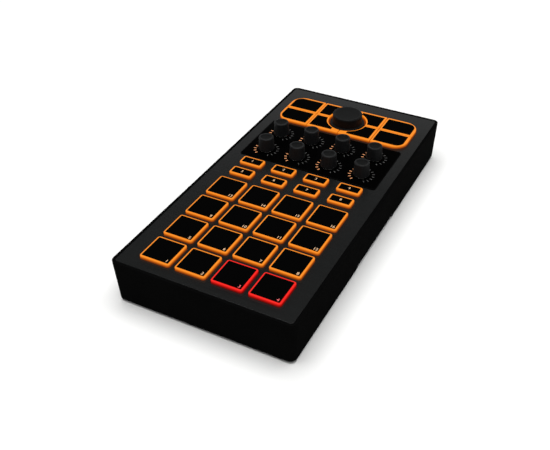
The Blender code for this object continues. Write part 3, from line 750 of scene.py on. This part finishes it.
def key_block(caps):
    """Centre and half sizes of the block that the eight function keys fill."""
    boxes = [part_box(node) for node in KEYS]
    low = Vector([min(box[0][axis] for box in boxes) for axis in range(3)])
    high = Vector([max(box[1][axis] for box in boxes) for axis in range(3)])
    return plan_of(low, high, caps.flange)


def make_cap(node, caps, outline, face, lit, film):
    """A lit cap and its black face. outline and face are plans, as functions of their growth."""
    low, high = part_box(node)
    flange_top = low.z + caps.flange_height
    cap_top = high.z - caps.step
    seat = cap_top - caps.step / 2
    panel_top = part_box("top_panel")[1].z
    sections = [
        (outline(caps.flange - caps.step), low.z),
        (outline(caps.flange), low.z + caps.step),
        (outline(caps.flange), flange_top - caps.step),
        (outline(caps.flange - caps.step), flange_top),
        (outline(0.0), flange_top),
        (outline(0.0), panel_top),
        (outline(0.0), (panel_top + cap_top - caps.edge) / 2),
    ]
    sections += [(outline(-inset), cap_top - caps.edge + rise) for inset, rise in quarter_round(caps.edge)]
    sections += [(face(caps.face_gap), cap_top), (face(caps.face_gap), seat)]
    body = new_piece(f"{node}_cap", lofted(sections), lit, CAP_SHARP)
    glow = body.data.attributes.new("lamp_share", "FLOAT", "POINT")
    for vertex, value in zip(body.data.vertices, glow.data):
        climb = (vertex.co.z - panel_top) / (cap_top - panel_top)
        value.value = caps.foot_glow + (1.0 - caps.foot_glow) * min(1.0, max(0.0, climb))
    attach(body, node, [node])

    film_edge = caps.step / 4
    rolled = quarter_round(film_edge)[1:]
    sections = [(face(0.0), seat + caps.face_gap), (face(0.0), high.z - film_edge)]
    sections += [(face(-inset), high.z - film_edge + rise) for inset, rise in rolled]
    attach(new_piece(f"{node}_face", lofted(sections), film, CAP_SHARP), node)


def make_number(node, text, height, where, finish, caps):
    """A number let into a black face. where is its middle."""
    name = f"{node}_number"
    digits = bpy.data.curves.new(name, "FONT")
    digits.body = text
    digits.align_x = "CENTER"
    digits.align_y = "CENTER"
    digits.size = height / DIGIT_SHARE
    digits.extrude = caps.face_gap / 2
    digits.resolution_u = 3
    letters = put_in_scene(name, digits)
    mesh = plain_mesh(letters)
    bpy.data.objects.remove(letters)
    mesh.transform(Matrix.Translation((where[0], where[1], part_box(node)[1].z)))
    mesh.materials.clear()
    mesh.materials.append(finish)
    attach(put_in_scene(name, mesh), node)


class DRUMPAD_OT_stage(bpy.types.Operator):
    """Pale floor, soft light and camera"""

    bl_idname = "drumpad.stage"
    bl_label = "Stage, light and camera"

    def execute(self, context):
        stage = context.scene.drum_stage
        paper, tree, shader = new_finish("matt_paper_white", stage.floor_colour, 0.9, specular=0.0)
        pulp = between(tree, grain_noise(tree, 60 * MM), shade(stage.floor_colour, 0.99), stage.floor_colour)
        tree.links.new(pulp, shader.inputs["Base Color"])
        half = stage.floor_size / 2
        floor = block(bmesh.new(), (-half, -half, -10 * MM), (half, half, 0.0))
        new_piece("floor", floor, paper)

        world = bpy.data.worlds.new("soft_studio")
        context.scene.world = world
        world.use_nodes = True
        tree = world.node_tree
        where = add_node(tree, "ShaderNodeTexCoord").outputs["Generated"]
        split = add_node(tree, "ShaderNodeSeparateXYZ", links={"Vector": where})
        band = add_node(tree, "ShaderNodeValToRGB", links={"Fac": split.outputs["Z"]})
        stops = band.color_ramp.elements
        stops[0].position, stops[1].position = SKY[0][0], SKY[-1][0]
        for height, _ in SKY[1:-1]:
            stops.new(height)
        for stop, (_, level) in zip(stops, SKY):
            stop.color = (level, level, level, 1.0)
        backdrop = tree.nodes["Background"]
        tree.links.new(band.outputs["Color"], backdrop.inputs["Color"])
        backdrop.inputs["Strength"].default_value = stage.sky_strength

        light = bpy.data.lights.new("softbox", "AREA")
        light.shape = "SQUARE"
        light.size = stage.softbox_size
        light.energy = stage.softbox_power
        put_in_scene("softbox", light).location = (0.0, 0.0, stage.softbox_height)

        lens = bpy.data.cameras.new("camera")
        lens.lens = stage.lens
        lens.sensor_width = 36.0
        lens.shift_x, lens.shift_y = stage.shift
        lens.clip_start = 10 * MM
        camera = put_in_scene("camera", lens)
        camera.location = stage.camera_place
        camera.rotation_euler = stage.camera_turn
        context.scene.camera = camera
        context.scene.view_settings.view_transform = "Standard"
        return {"FINISHED"}


class DRUMPAD_OT_tray(bpy.types.Operator):
    """The black tray that everything sits in"""

    bl_idname = "drumpad.tray"
    bl_label = "Housing tray"

    def execute(self, context):
        tray = context.scene.drum_tray
        parts = context.scene.drum_parts
        low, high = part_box("housing_tray")
        half_x, half_y = plan_of(low, high)[1]

        def ring(inset, radius, z):
            return rounded_rectangle(half_x - inset, half_y - inset, radius), z

        def edge_ring(inset, z):
            lean = tray.draft * (high.z - z) / (high.z - low.z)
            return ring(lean + inset, tray.corner - inset, z)

        rolled = quarter_round(tray.edge)
        inner_edge = tray.edge / 3
        ledge = high.z - tray.ledge_drop
        sections = [edge_ring(inset, low.z + tray.edge - rise) for inset, rise in reversed(rolled)]
        sections += [edge_ring(inset, high.z - tray.edge + rise) for inset, rise in rolled]
        sections += [
            ring(tray.rim - inner_edge, tray.corner - tray.rim + inner_edge, high.z),
            ring(tray.rim, tray.corner - tray.rim, high.z - inner_edge),
            ring(tray.rim, tray.corner - tray.rim, ledge),
            ring(tray.wall, tray.inner_corner, ledge),
            ring(tray.wall + tray.draft, tray.inner_corner, low.z + tray.floor),
        ]
        shell = new_piece("housing_shell", lofted(sections), moulded_abs(tray))
        post = [(tray.post_radius, low.z + tray.floor / 2), (tray.post_radius, tray.post_height)]
        combine(shell, "UNION", turned(post, places=post_places(tray)))

        head = parts.screw_head + 0.5 * MM
        shank = parts.screw_shank + CLEARANCE
        counterbore = [
            (head + CLEARANCE, -PAST),
            (head + CLEARANCE, low.z),
            (head, low.z + CLEARANCE),
            (head, parts.screw_head_top),
            (shank, parts.screw_head_top),
            (shank, tray.post_height + PAST),
        ]
        cuts = turned(counterbore, places=post_places(tray))
        reach = tray.notch_length / 2
        notch_top = low.z + tray.notch_height
        for side in (-1, 1):
            ends = (side * (half_x - tray.draft - tray.notch_depth), side * (half_x + 2 * PAST))
            block(cuts, (min(ends), -reach, -PAST), (max(ends), reach, notch_top))
        first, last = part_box("usb_socket")
        mouth_low = (first.x - CLEARANCE, half_y - 8 * MM, first.z - CLEARANCE)
        mouth_high = (last.x + CLEARANCE, half_y + 2 * PAST, last.z + CLEARANCE)
        block(cuts, mouth_low, mouth_high)
        combine(shell, "DIFFERENCE", cuts)
        attach(shell, BODY, ["housing_tray"])
        return {"FINISHED"}


class DRUMPAD_OT_case_screws(bpy.types.Operator):
    """Six cross-head screws in the counterbores of the base"""

    bl_idname = "drumpad.case_screws"
    bl_label = "Case screws"

    def execute(self, context):
        parts = context.scene.drum_parts
        finish = plated("black_zinc_screw", parts.screw, 0.35, 0.3 * MM)
        head, shank, seat = parts.screw_head, parts.screw_shank, parts.screw_head_top
        underside = seat - parts.screw_height
        bearing = seat - 0.05 * MM
        tip = seat + parts.screw_length
        dome = 0.35 * MM
        profile = [
            (0.35 * head, underside),
            (0.75 * head, underside + dome / 3),
            (head - dome / 3, underside + dome),
            (head, underside + 2 * dome),
            (head, bearing),
            (shank, bearing),
            (shank, tip - 1.0 * MM),
            (0.3 * MM, tip),
        ]
        screw = new_piece("case_screw", turned(profile), finish)
        arm, slit = 0.62 * head, 0.16 * head
        for half_x, half_y in ((arm, slit), (slit, arm)):
            low = (-half_x, -half_y, underside - PAST)
            combine(screw, "DIFFERENCE", block(bmesh.new(), low, (half_x, half_y, underside + 0.9 * MM)))
        points = [(x, y, 0.0) for x, y in post_places(context.scene.drum_tray)]
        screws = repeat("case_screws", screw, points, finish, spin=math.pi, seed=7)
        attach(screws, BODY)
        return {"FINISHED"}


class DRUMPAD_OT_rubber_feet(bpy.types.Operator):
    """Four round stick-on feet"""

    bl_idname = "drumpad.rubber_feet"
    bl_label = "Rubber feet"

    def execute(self, context):
        radius = context.scene.drum_parts.foot_radius
        low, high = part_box(FEET[0])
        finish = plain_rubber("black_foot_rubber", linear("#19191A"), 0.8, 0.5 * MM)
        edge = 0.3 * MM
        profile = [(radius * 0.55, 0.12 * MM), (radius * 0.6, 0.0)]
        profile += [(radius - inset, edge - rise) for inset, rise in reversed(quarter_round(edge))]
        profile += [(radius, high.z)]
        foot = new_piece("rubber_foot", turned(profile, BORE_SIDES), finish)
        attach(repeat("rubber_feet", foot, points_of(FEET, low.z), finish), BODY, FEET)
        return {"FINISHED"}


class DRUMPAD_OT_cable_socket(bpy.types.Operator):
    """Cable socket in the back wall: folded shell, insulator tongue and four contacts"""

    bl_idname = "drumpad.cable_socket"
    bl_label = "Cable socket"

    def execute(self, context):
        parts = context.scene.drum_parts
        low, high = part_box("usb_socket")
        middle = (low + high) / 2
        half_x = (high.x - low.x) / 2
        half_z = (high.z - low.z) / 2
        wall = parts.socket_shell
        floor_y = high.y - parts.socket_hollow
        lip = 0.15 * MM

        def outline(inset, y):
            x, z, cut = half_x - inset, half_z - inset, parts.socket_chamfer - 0.6 * inset
            corners = [(x, -z), (x, z - cut), (x - cut, z), (cut - x, z), (-x, z - cut), (-x, -z)]
            return [(middle.x + a, y, middle.z + b) for a, b in corners]

        def slab(half, y):
            corners = ((1, -1), (1, 1), (-1, 1), (-1, -1))
            return [(middle.x + a * half[0], y, middle.z + b * half[1]) for a, b in corners]

        tin = plated("tin_plated_socket_shell", parts.steel, 0.3, 0.4 * MM, (1.0, 6.0, 1.0))
        folds = ((0.0, low.y), (0.0, high.y - lip), (lip, high.y))
        folds += ((wall - lip, high.y), (wall, high.y - lip), (wall, floor_y))
        shell = skin(bmesh.new(), [outline(inset, y) for inset, y in folds])
        attach(new_piece("socket_shell", shell, tin), BODY, ["usb_socket"])

        nylon = socket_nylon("white_socket_nylon", linear("#D8D6CE"))
        tongue = (2.8 * MM, 1.6 * MM)
        nose_round = 0.4 * MM
        tongue_end = high.y - 1.5 * MM
        root = floor_y + 0.9 * MM
        base = (half_x - wall - lip, half_z - wall - parts.socket_chamfer)
        nose = (tongue[0] - nose_round, tongue[1] - nose_round)
        stations = ((base, floor_y + 0.05 * MM), (base, root), (tongue, root))
        stations += ((tongue, tongue_end - nose_round), (nose, tongue_end))
        insulator = skin(bmesh.new(), [slab(half, y) for half, y in stations])
        attach(new_piece("socket_tongue", insulator, nylon), BODY)

        gold = plated("gold_flashed_contact", linear("#D9B25A"), 0.22, 0.3 * MM, (1.0, 5.0, 1.0))
        contacts = bmesh.new()
        half_width, half_height = 0.45 * MM, 0.08 * MM
        for side_x in (-1, 1):
            for side_z in (-1, 1):
                x = middle.x + side_x * 1.25 * MM
                z = middle.z + side_z * (tongue[1] + 0.03 * MM)
                first = (x - half_width, floor_y + 1.0 * MM, z - half_height)
                block(contacts, first, (x + half_width, tongue_end - 0.6 * MM, z + half_height))
        attach(new_piece("socket_contacts", contacts, gold), BODY)
        return {"FINISHED"}


class DRUMPAD_OT_top_panel(bpy.types.Operator):
    """The brushed panel with its openings for pads, buttons, keys and plate"""

    bl_idname = "drumpad.top_panel"
    bl_label = "Top panel"

    def execute(self, context):
        panel = context.scene.drum_panel
        caps = context.scene.drum_caps
        tray = context.scene.drum_tray
        parts = context.scene.drum_parts
        low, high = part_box("top_panel")
        bottom = high.z - panel.thickness
        outline = rounded_rectangle(*plan_of(low, high)[1], tray.corner - tray.rim - 0.15 * MM)
        slab = lofted([(outline, bottom), (outline, high.z)])
        sheet = new_piece("brushed_panel", slab, brushed_panel(panel))
        boss_foot = tray.post_height + CLEARANCE
        boss = [(tray.boss_radius, boss_foot), (tray.boss_radius, bottom + CLEARANCE)]
        combine(sheet, "UNION", turned(boss, places=post_places(tray)))

        thread = parts.screw_shank + 0.05 * MM
        tip = parts.screw_head_top + parts.screw_length + CLEARANCE
        cuts = turned([(thread, boss_foot - PAST), (thread, tip)], places=post_places(tray))
        openings = [(*cap_plan(node, caps), caps.pad_corner) for node in PADS + BUTTONS]
        openings.append((*key_block(caps), caps.key_corner))
        openings.append((*cap_plan("encoder_plate", caps), panel.plate_corner))
        for centre, half, corner in openings:
            shape = rectangle_plan(centre, half, corner, 0.0)(panel.gap)
            loft(cuts, [(shape, bottom - PAST), (shape, high.z + PAST)])
        combine(sheet, "DIFFERENCE", cuts)
        soften_edges(sheet, panel.edge)
        attach(sheet, BODY, ["top_panel"])
        return {"FINISHED"}


class DRUMPAD_OT_encoder_plate(bpy.types.Operator):
    """The polished plate round the small knobs and its rings of light windows"""

    bl_idname = "drumpad.encoder_plate"
    bl_label = "Encoder plate and light windows"

    def execute(self, context):
        panel = context.scene.drum_panel
        caps = context.scene.drum_caps
        low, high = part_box("encoder_plate")
        centre, half = cap_plan("encoder_plate", caps)
        corner, edge = panel.plate_corner, panel.plate_edge
        square = rectangle_plan(centre, half, corner)
        rolling = rectangle_plan(centre, half, corner, 0.0)
        lip_top = low.z + 0.3 * MM
        sections = [(square(caps.flange), low.z), (square(caps.flange), lip_top), (square(0.0), lip_top)]
        sections += [(rolling(-inset), high.z - edge + rise) for inset, rise in quarter_round(edge)]
        plate = new_piece("gloss_plate", lofted(sections), gloss_acrylic(panel))
        hole = [(panel.hole, low.z - PAST), (panel.hole, high.z + PAST)]
        combine(plate, "DIFFERENCE", turned(hole, BORE_SIDES, points_of(KNOBS)))
        attach(plate, BODY, ["encoder_plate"])

        tree = window_ring_tree()
        depth = 0.4 * MM
        lit, dim = panel.windows_lit, panel.windows_dim
        groups = (
            ("windows_lit", 0, lit, glowing("lit_amber_light_window", panel.window_light, 0.9)),
            ("windows_dim", lit, dim, glowing("dim_amber_light_window", panel.window_dim_light, 0.5)),
            ("windows_unlit", lit + dim, panel.windows - lit - dim, frosted_window()),
        )
        inputs = {
            "Ring radius": panel.ring,
            "Step angle": panel.window_step,
            "Window length": panel.window_length,
            "Window width": panel.window_width,
            "Depth": depth,
            "Corner": 0.25 * MM,
        }
        points = points_of(KNOBS, high.z + panel.window_proud - depth)
        for name, first, how_many, finish in groups:
            first_angle = panel.window_first + first * panel.window_step
            chosen = {"First angle": first_angle, "Windows": how_many, "Finish": finish}
            attach(grow(name, points, tree, inputs | chosen), BODY)
        return {"FINISHED"}


class DRUMPAD_OT_pads(bpy.types.Operator):
    """Sixteen lit pads with black faces and numbers"""

    bl_idname = "drumpad.pads"
    bl_label = "Drum pads"

    def execute(self, context):
        caps = context.scene.drum_caps
        orange = lit_silicone("orange_lit_silicone", caps.orange, caps.deep_orange, caps.milk)
        red = lit_silicone("red_lit_silicone", caps.red, caps.deep_red, shade(caps.milk, 0.5))
        digit = glowing("lit_number_window", caps.digit, 1.0)
        red_digit = glowing("red_lit_number_window", linear("#FF6A6E"), 1.0)
        film = face_film(caps)
        border = caps.pad_border
        for number, node in enumerate(PADS, 1):
            centre, half = cap_plan(node, caps)
            outline = rectangle_plan(centre, half, caps.pad_corner, caps.least_corner)
            face = rectangle_plan(centre, (half[0] - border, half[1] - border), caps.pad_face_corner)
            make_cap(node, caps, outline, face, red if node in RED_PADS else orange, film)
            edge = border + (1.8 if number < 10 else 2.2) * MM
            where = (centre[0] + half[0] - edge, centre[1] - half[1] + border + 1.7 * MM)
            glow = red_digit if node in RED_PADS else digit
            make_number(node, str(number), caps.digit_height, where, glow, caps)
        return {"FINISHED"}


class DRUMPAD_OT_select_buttons(bpy.types.Operator):
    """Eight lit buttons with centred numbers"""

    bl_idname = "drumpad.select_buttons"
    bl_label = "Select buttons"

    def execute(self, context):
        caps = context.scene.drum_caps
        lit = bpy.data.materials["orange_lit_silicone"]
        film = bpy.data.materials["opaque_black_face_paint"]
        digit = bpy.data.materials["lit_number_window"]
        for number, node in enumerate(BUTTONS, 1):
            centre, half = cap_plan(node, caps)
            inner = (half[0] - caps.button_border_x, half[1] - caps.button_border_y)
            outline = rectangle_plan(centre, half, caps.pad_corner, caps.least_corner)
            make_cap(node, caps, outline, rectangle_plan(centre, inner, caps.seam_corner), lit, film)
            make_number(node, str(number), caps.button_digit_height, centre, digit, caps)
        return {"FINISHED"}


class DRUMPAD_OT_function_keys(bpy.types.Operator):
    """Eight lit keys in one block, the inner four cut away round the dial"""

    bl_idname = "drumpad.function_keys"
    bl_label = "Function keys"

    def execute(self, context):
        caps = context.scene.drum_caps
        lit = bpy.data.materials["orange_lit_silicone"]
        film = bpy.data.materials["opaque_black_face_paint"]
        centre, half = key_block(caps)
        column = half[0] / 2
        arc_steps = 24

        # Each plan is of the +X +Y key, about the block's centre, and only its free sides grow.
        def corner_key(low, high, corner):
            middle = ((low[0] + high[0]) / 2, (low[1] + high[1]) / 2)
            radii = (corner, caps.seam_corner, caps.seam_corner, caps.seam_corner)
            return rounded_rectangle((high[0] - low[0]) / 2, (high[1] - low[1]) / 2, radii, 8, middle)

        def arc_key(right, back, left, low, radius):
            start, end = math.acos(left / radius), math.asin(low / radius)
            angles = [start + (end - start) * i / arc_steps for i in range(arc_steps + 1)]
            curve = [(radius * math.cos(a), radius * math.sin(a)) for a in angles]
            return [(right, low), (right, back), (left, back), *curve]

        def outer(growth):
            seam = caps.key_seam - min(growth, 0.0)
            corner = max(caps.key_corner + min(growth, 0.0), 1.0 * MM)
            return corner_key((column + seam, seam), (half[0] + growth, half[1] + growth), corner)

        def outer_face(growth):
            seam = caps.key_seam_border - growth
            high = (half[0] - caps.key_border + growth, half[1] - caps.key_border_y + growth)
            return corner_key((column + seam, seam), high, caps.key_face_corner + growth)

        def inner(growth):
            shrink = max(0.0, -growth)
            low = caps.key_seam + shrink
            return arc_key(column - low, half[1] + growth, low, low, caps.key_arc + shrink)

        def inner_face(growth):
            low = caps.key_seam_border - growth
            back = half[1] - caps.key_border_y + growth
            radius = caps.key_arc + caps.key_arc_border - growth
            return arc_key(column - low, back, caps.key_arc_end - growth, low, radius)

        def mirrored(plan, sign_x, sign_y):
            def placed(growth):
                made = [(centre[0] + sign_x * x, centre[1] + sign_y * y) for x, y in plan(growth)]
                return made if sign_x * sign_y > 0 else made[::-1]

            return placed

        for node in KEYS:
            middle = middle_of(node)
            signs = (math.copysign(1, middle.x - centre[0]), math.copysign(1, middle.y - centre[1]))
            is_outer = abs(middle.x - centre[0]) > column
            plan, top = (outer, outer_face) if is_outer else (inner, inner_face)
            make_cap(node, caps, mirrored(plan, *signs), mirrored(top, *signs), lit, film)
        return {"FINISHED"}


def inset_top(grip, middle, radius, floor, insert):
    """Gives the faces of a knob's top inside a radius a darker finish, as painted shade in the dish."""
    grip.data.materials.append(insert)
    corners = grip.data.vertices
    for face in grip.data.polygons:
        reach = max(math.hypot(corners[i].co.x - middle.x, corners[i].co.y - middle.y) for i in face.vertices)
        if reach < radius + 0.01 * MM and face.center.z > floor:
            face.material_index = 1


class DRUMPAD_OT_encoder_knobs(bpy.types.Operator):
    """Eight soft-touch knobs with a dished top, its middle darkened as painted shade"""

    bl_idname = "drumpad.encoder_knobs"
    bl_label = "Encoder knobs"

    def execute(self, context):
        knobs = context.scene.drum_knobs
        finish = soft_touch("soft_touch_grey_rubber", knobs.rubber, 0.12)
        # The middle of each top gets a darker finish: painted shade in the dish.
        insert = soft_touch("matt_knob_insert", knobs.insert, 0.06)
        inner = knobs.top_radius - knobs.edge - knobs.lip
        for name in KNOBS:
            low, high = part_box(name)
            middle = (low + high) / 2
            profile = [
                (0.6 * knobs.bore, high.z - knobs.roof),
                (knobs.bore, high.z - knobs.roof),
                (knobs.bore, low.z),
                (knobs.foot_radius - 0.3 * MM, low.z),
                (knobs.foot_radius, low.z + 0.3 * MM),
                (knobs.foot_radius - 0.1 * MM, low.z + 1.2 * MM),
            ]
            rolled = quarter_round(knobs.edge)
            profile += [(knobs.top_radius - inset, high.z - knobs.edge + rise) for inset, rise in rolled]
            profile += [
                (inner + 0.25 * MM, high.z),
                (inner, high.z - 0.1 * MM),
                (inner - 0.35 * MM, high.z - 0.75 * knobs.dish),
                (0.7 * inner, high.z - knobs.dish),
                (0.35 * inner, high.z - 1.15 * knobs.dish),
            ]
            grip = new_piece(f"{name}_grip", turned(profile, 64, [middle.xy]), finish, CAP_SHARP)
            inset_top(grip, middle, inner, high.z - 2 * knobs.dish, insert)
            attach(grip, name, [name])
        return {"FINISHED"}


class DRUMPAD_OT_dial(bpy.types.Operator):
    """The large dial with its low skirt"""

    bl_idname = "drumpad.dial"
    bl_label = "Large dial"

    def execute(self, context):
        knobs = context.scene.drum_knobs
        low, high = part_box("dial_knob")
        middle = (low + high) / 2
        skirt, edge = knobs.dial_skirt, knobs.dial_edge
        skirt_top = low.z + knobs.dial_skirt_height
        foot_round = 0.35 * MM
        hollow = 0.6 * MM
        flat = knobs.dial_radius - edge
        profile = [
            (0.6 * knobs.bore, high.z - knobs.dial_roof),
            (knobs.bore, high.z - knobs.dial_roof),
            (knobs.bore, low.z),
            (skirt - foot_round, low.z),
            (skirt, low.z + foot_round),
        ]
        rolled = quarter_round(foot_round)
        profile += [(skirt - inset, skirt_top - foot_round + rise) for inset, rise in rolled]
        for angle in (0.0, 0.5, 1.05, 1.57):
            inset, rise = hollow * math.sin(angle), hollow * math.cos(angle)
            profile.append((knobs.dial_radius + hollow - inset, skirt_top + hollow - rise))
        profile += [(knobs.dial_radius - inset, high.z - edge + rise) for inset, rise in quarter_round(edge)]
        dish = ((0.9, 0.02), (0.6, 0.12), (0.3, 0.18))
        profile += [(flat * part, high.z - drop * MM) for part, drop in dish]
        finish = soft_touch("soft_touch_dial_rubber", knobs.dial_rubber, 0.08)
        grip = new_piece("dial_grip", turned(profile, 96, [middle.xy]), finish, CAP_SHARP)
        # Painted shade: most of the dial's top gets the darker finish of the knob dishes.
        inset_top(grip, middle, flat * 0.9, high.z - 0.5 * MM, bpy.data.materials["matt_knob_insert"])
        attach(grip, "dial_knob", ["dial_knob"])
        return {"FINISHED"}


def switch_places(parts, z):
    """Where each cap presses its dome. The inner keys press near their outer corner, clear of the dial."""
    outer_keys = [KEYS[place] for place in (0, 3, 4, 7)]
    dial = middle_of("dial_knob")
    reach_x, reach_y = parts.inner_switch
    inner = [(dial.x + x * reach_x, dial.y + y * reach_y, z) for x in (-1, 1) for y in (-1, 1)]
    return points_of(PADS + BUTTONS + outer_keys, z) + inner


def encoder_body(parts, board_top, bushing_top, finish):
    """A square can with rolled edges and the threaded bushing that stands on it, about the Z axis."""
    sides = POST_SIDES
    corner, edge, pitch = 0.6 * MM, 0.4 * MM, 0.75 * MM

    def can(inset):
        half = parts.can_half - inset
        return rounded_rectangle(half, half, corner, sides // 4 - 1)

    sections = [(can(0.0), board_top)]
    sections += [(can(inset), parts.can_top - edge + rise) for inset, rise in quarter_round(edge)]
    crest, bore = circle(parts.bushing, sides), circle(parts.bushing_bore, sides)
    root = circle(parts.bushing - 0.3 * MM, sides)
    chamfer = 0.2 * MM
    threads = int((bushing_top - parts.can_top - 1.0 * MM) / pitch)
    start = bushing_top - 0.3 * MM - threads * pitch
    sections += [(crest, parts.can_top), (crest, start)]
    for ring in range(threads):
        foot = start + ring * pitch
        sections += [(root, foot + pitch / 2), (crest, foot + pitch)]
    sections += [(root, bushing_top), (circle(parts.bushing_bore + chamfer, sides), bushing_top)]
    sections += [(bore, bushing_top - chamfer), (bore, parts.bushing_floor)]
    return new_piece("encoder_body", lofted(sections), finish)


class DRUMPAD_OT_circuit_board(bpy.types.Operator):
    """The board with its encoder bodies and light-emitting diodes"""

    bl_idname = "drumpad.circuit_board"
    bl_label = "Circuit board"

    def execute(self, context):
        parts = context.scene.drum_parts
        tray = context.scene.drum_tray
        low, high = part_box("circuit_board")
        top = low.z + parts.board_thickness
        outline = rounded_rectangle(*plan_of(low, high)[1], 2 * MM)
        board = new_piece("board_sheet", lofted([(outline, low.z), (outline, top)]), solder_mask())
        radius = tray.post_radius + 2 * CLEARANCE
        hole = [(radius, low.z - PAST), (radius, top + PAST)]
        combine(board, "DIFFERENCE", turned(hole, BORE_SIDES, post_places(tray)))
        attach(board, BODY, ["circuit_board"])

        steel = plated("nickel_plated_encoder_can", parts.steel, 0.32, 0.3 * MM)
        dial_bushing_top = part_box("dial_knob")[0].z - parts.dial_bushing_sink
        groups = (("encoder_bodies", KNOBS, high.z), ("dial_encoder_body", ["dial_knob"], dial_bushing_top))
        for name, nodes, bushing_top in groups:
            body = encoder_body(parts, top, bushing_top, steel)
            attach(repeat(name, body, points_of(nodes), steel), BODY)

        lens = glowing("amber_diode_lens", linear("#FFB060"), 0.6, "#D8D0C0")
        half_x, half_y, height = parts.diode
        inset = 0.3 * MM
        base = rounded_rectangle(half_x, half_y, 0.2 * MM, 3)
        crown = rounded_rectangle(half_x - inset, half_y - inset, 0.4 * MM, 3)
        sections = [(base, 0.1 * MM), (base, height * 0.6), (crown, height)]
        diode = new_piece("diode", lofted(sections), lens)
        points = [(x + parts.diode_offset, y, z) for x, y, z in switch_places(parts, top)]
        attach(repeat("light_diodes", diode, points, lens), BODY)
        return {"FINISHED"}


class DRUMPAD_OT_switch_mat(bpy.types.Operator):
    """The rubber mat with a springy dome under every cap"""

    bl_idname = "drumpad.switch_mat"
    bl_label = "Switch mat"

    def execute(self, context):
        parts = context.scene.drum_parts
        low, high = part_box("switch_mat")
        top = low.z + parts.mat_thickness
        centre, half = plan_of(low, high)
        finish = plain_rubber("milky_silicone_mat", linear("#B9B6AE"), 0.55, 1.5 * MM)
        outline = rounded_rectangle(*half, 2 * MM, CORNER_STEPS, centre)
        mat = new_piece("mat_sheet", lofted([(outline, low.z), (outline, top)]), finish)
        cuts = bmesh.new()
        reach = parts.can_half + 1.5 * MM
        for nodes in (KNOBS, ["dial_knob"]):
            across, along, _ = zip(*points_of(nodes))
            first = (min(across) - reach, min(along) - reach, low.z - PAST)
            block(cuts, first, (max(across) + reach, max(along) + reach, top + PAST))
        combine(mat, "DIFFERENCE", cuts)
        attach(mat, BODY, ["switch_mat"])

        foot, crown = parts.dome
        rise = high.z - top
        edge = 0.3 * MM
        bell = [(foot, 0.0), (foot * 0.94, 0.16), (crown * 1.25, 0.62), (crown * 1.03, 0.74), (crown, 0.8)]
        profile = [(radius, top - 0.1 * MM + climb * rise) for radius, climb in bell]
        profile += [(crown - inset, high.z - edge + up) for inset, up in quarter_round(edge)]
        dome = new_piece("rubber_dome", turned(profile), finish, 60.0)
        domes = repeat("rubber_domes", dome, switch_places(parts, 0.0), finish)
        attach(domes, BODY)
        return {"FINISHED"}


class DRUMPAD_OT_shafts(bpy.types.Operator):
    """Nine turned shafts with a flat for their knob"""

    bl_idname = "drumpad.shafts"
    bl_label = "Shafts"

    def execute(self, context):
        parts = context.scene.drum_parts
        steel = plated("turned_steel_shaft", parts.steel, 0.28, 0.25 * MM, (8.0, 8.0, 1.0))
        radius = parts.shaft
        tip = radius - 0.3 * MM
        for name in SHAFTS:
            low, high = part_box(name)
            middle = (low + high) / 2
            profile = [(tip, low.z), (radius, low.z + 0.3 * MM), (radius, high.z - 0.3 * MM), (tip, high.z)]
            pin = new_piece(f"{name}_pin", turned(profile, BORE_SIDES, [middle.xy]), steel)
            first = (middle.x - 2 * radius, middle.y - 2 * radius, high.z - parts.shaft_flat)
            last = (middle.x + 2 * radius, middle.y - 0.5 * radius, high.z + PAST)
            combine(pin, "DIFFERENCE", block(bmesh.new(), first, last))
            attach(pin, name, [name])
        return {"FINISHED"}


class DRUMPAD_PT_sidebar(bpy.types.Panel):
    """Lists the sizes, the colours and the pieces"""

    bl_label = "Drum Pad Controller"
    bl_idname = "DRUMPAD_PT_sidebar"
    bl_space_type = "VIEW_3D"
    bl_region_type = "UI"
    bl_category = "Drum Pad"

    def draw(self, context):
        for operator in OPERATORS:
            self.layout.operator(operator.bl_idname)
        for name in SETTINGS:
            box = self.layout.box()
            settings = getattr(context.scene, name)
            for key in settings.__annotations__:
                box.prop(settings, key)


OPERATORS = (
    DRUMPAD_OT_stage,
    DRUMPAD_OT_tray,
    DRUMPAD_OT_case_screws,
    DRUMPAD_OT_rubber_feet,
    DRUMPAD_OT_cable_socket,
    DRUMPAD_OT_top_panel,
    DRUMPAD_OT_encoder_plate,
    DRUMPAD_OT_pads,
    DRUMPAD_OT_select_buttons,
    DRUMPAD_OT_function_keys,
    DRUMPAD_OT_encoder_knobs,
    DRUMPAD_OT_dial,
    DRUMPAD_OT_circuit_board,
    DRUMPAD_OT_switch_mat,
    DRUMPAD_OT_shafts,
)
CLASSES = (*SETTINGS.values(), *OPERATORS, DRUMPAD_PT_sidebar)


def register():
    for made in CLASSES:
        bpy.utils.register_class(made)
    for name, group in SETTINGS.items():
        setattr(bpy.types.Scene, name, PointerProperty(type=group))


def unregister():
    for name in SETTINGS:
        delattr(bpy.types.Scene, name)
    for made in reversed(CLASSES):
        bpy.utils.unregister_class(made)


def main():
    register()
    for operator in OPERATORS:
        group, name = operator.bl_idname.split(".")
        getattr(getattr(bpy.ops, group), name)()


if __name__ == "__main__":
    main()
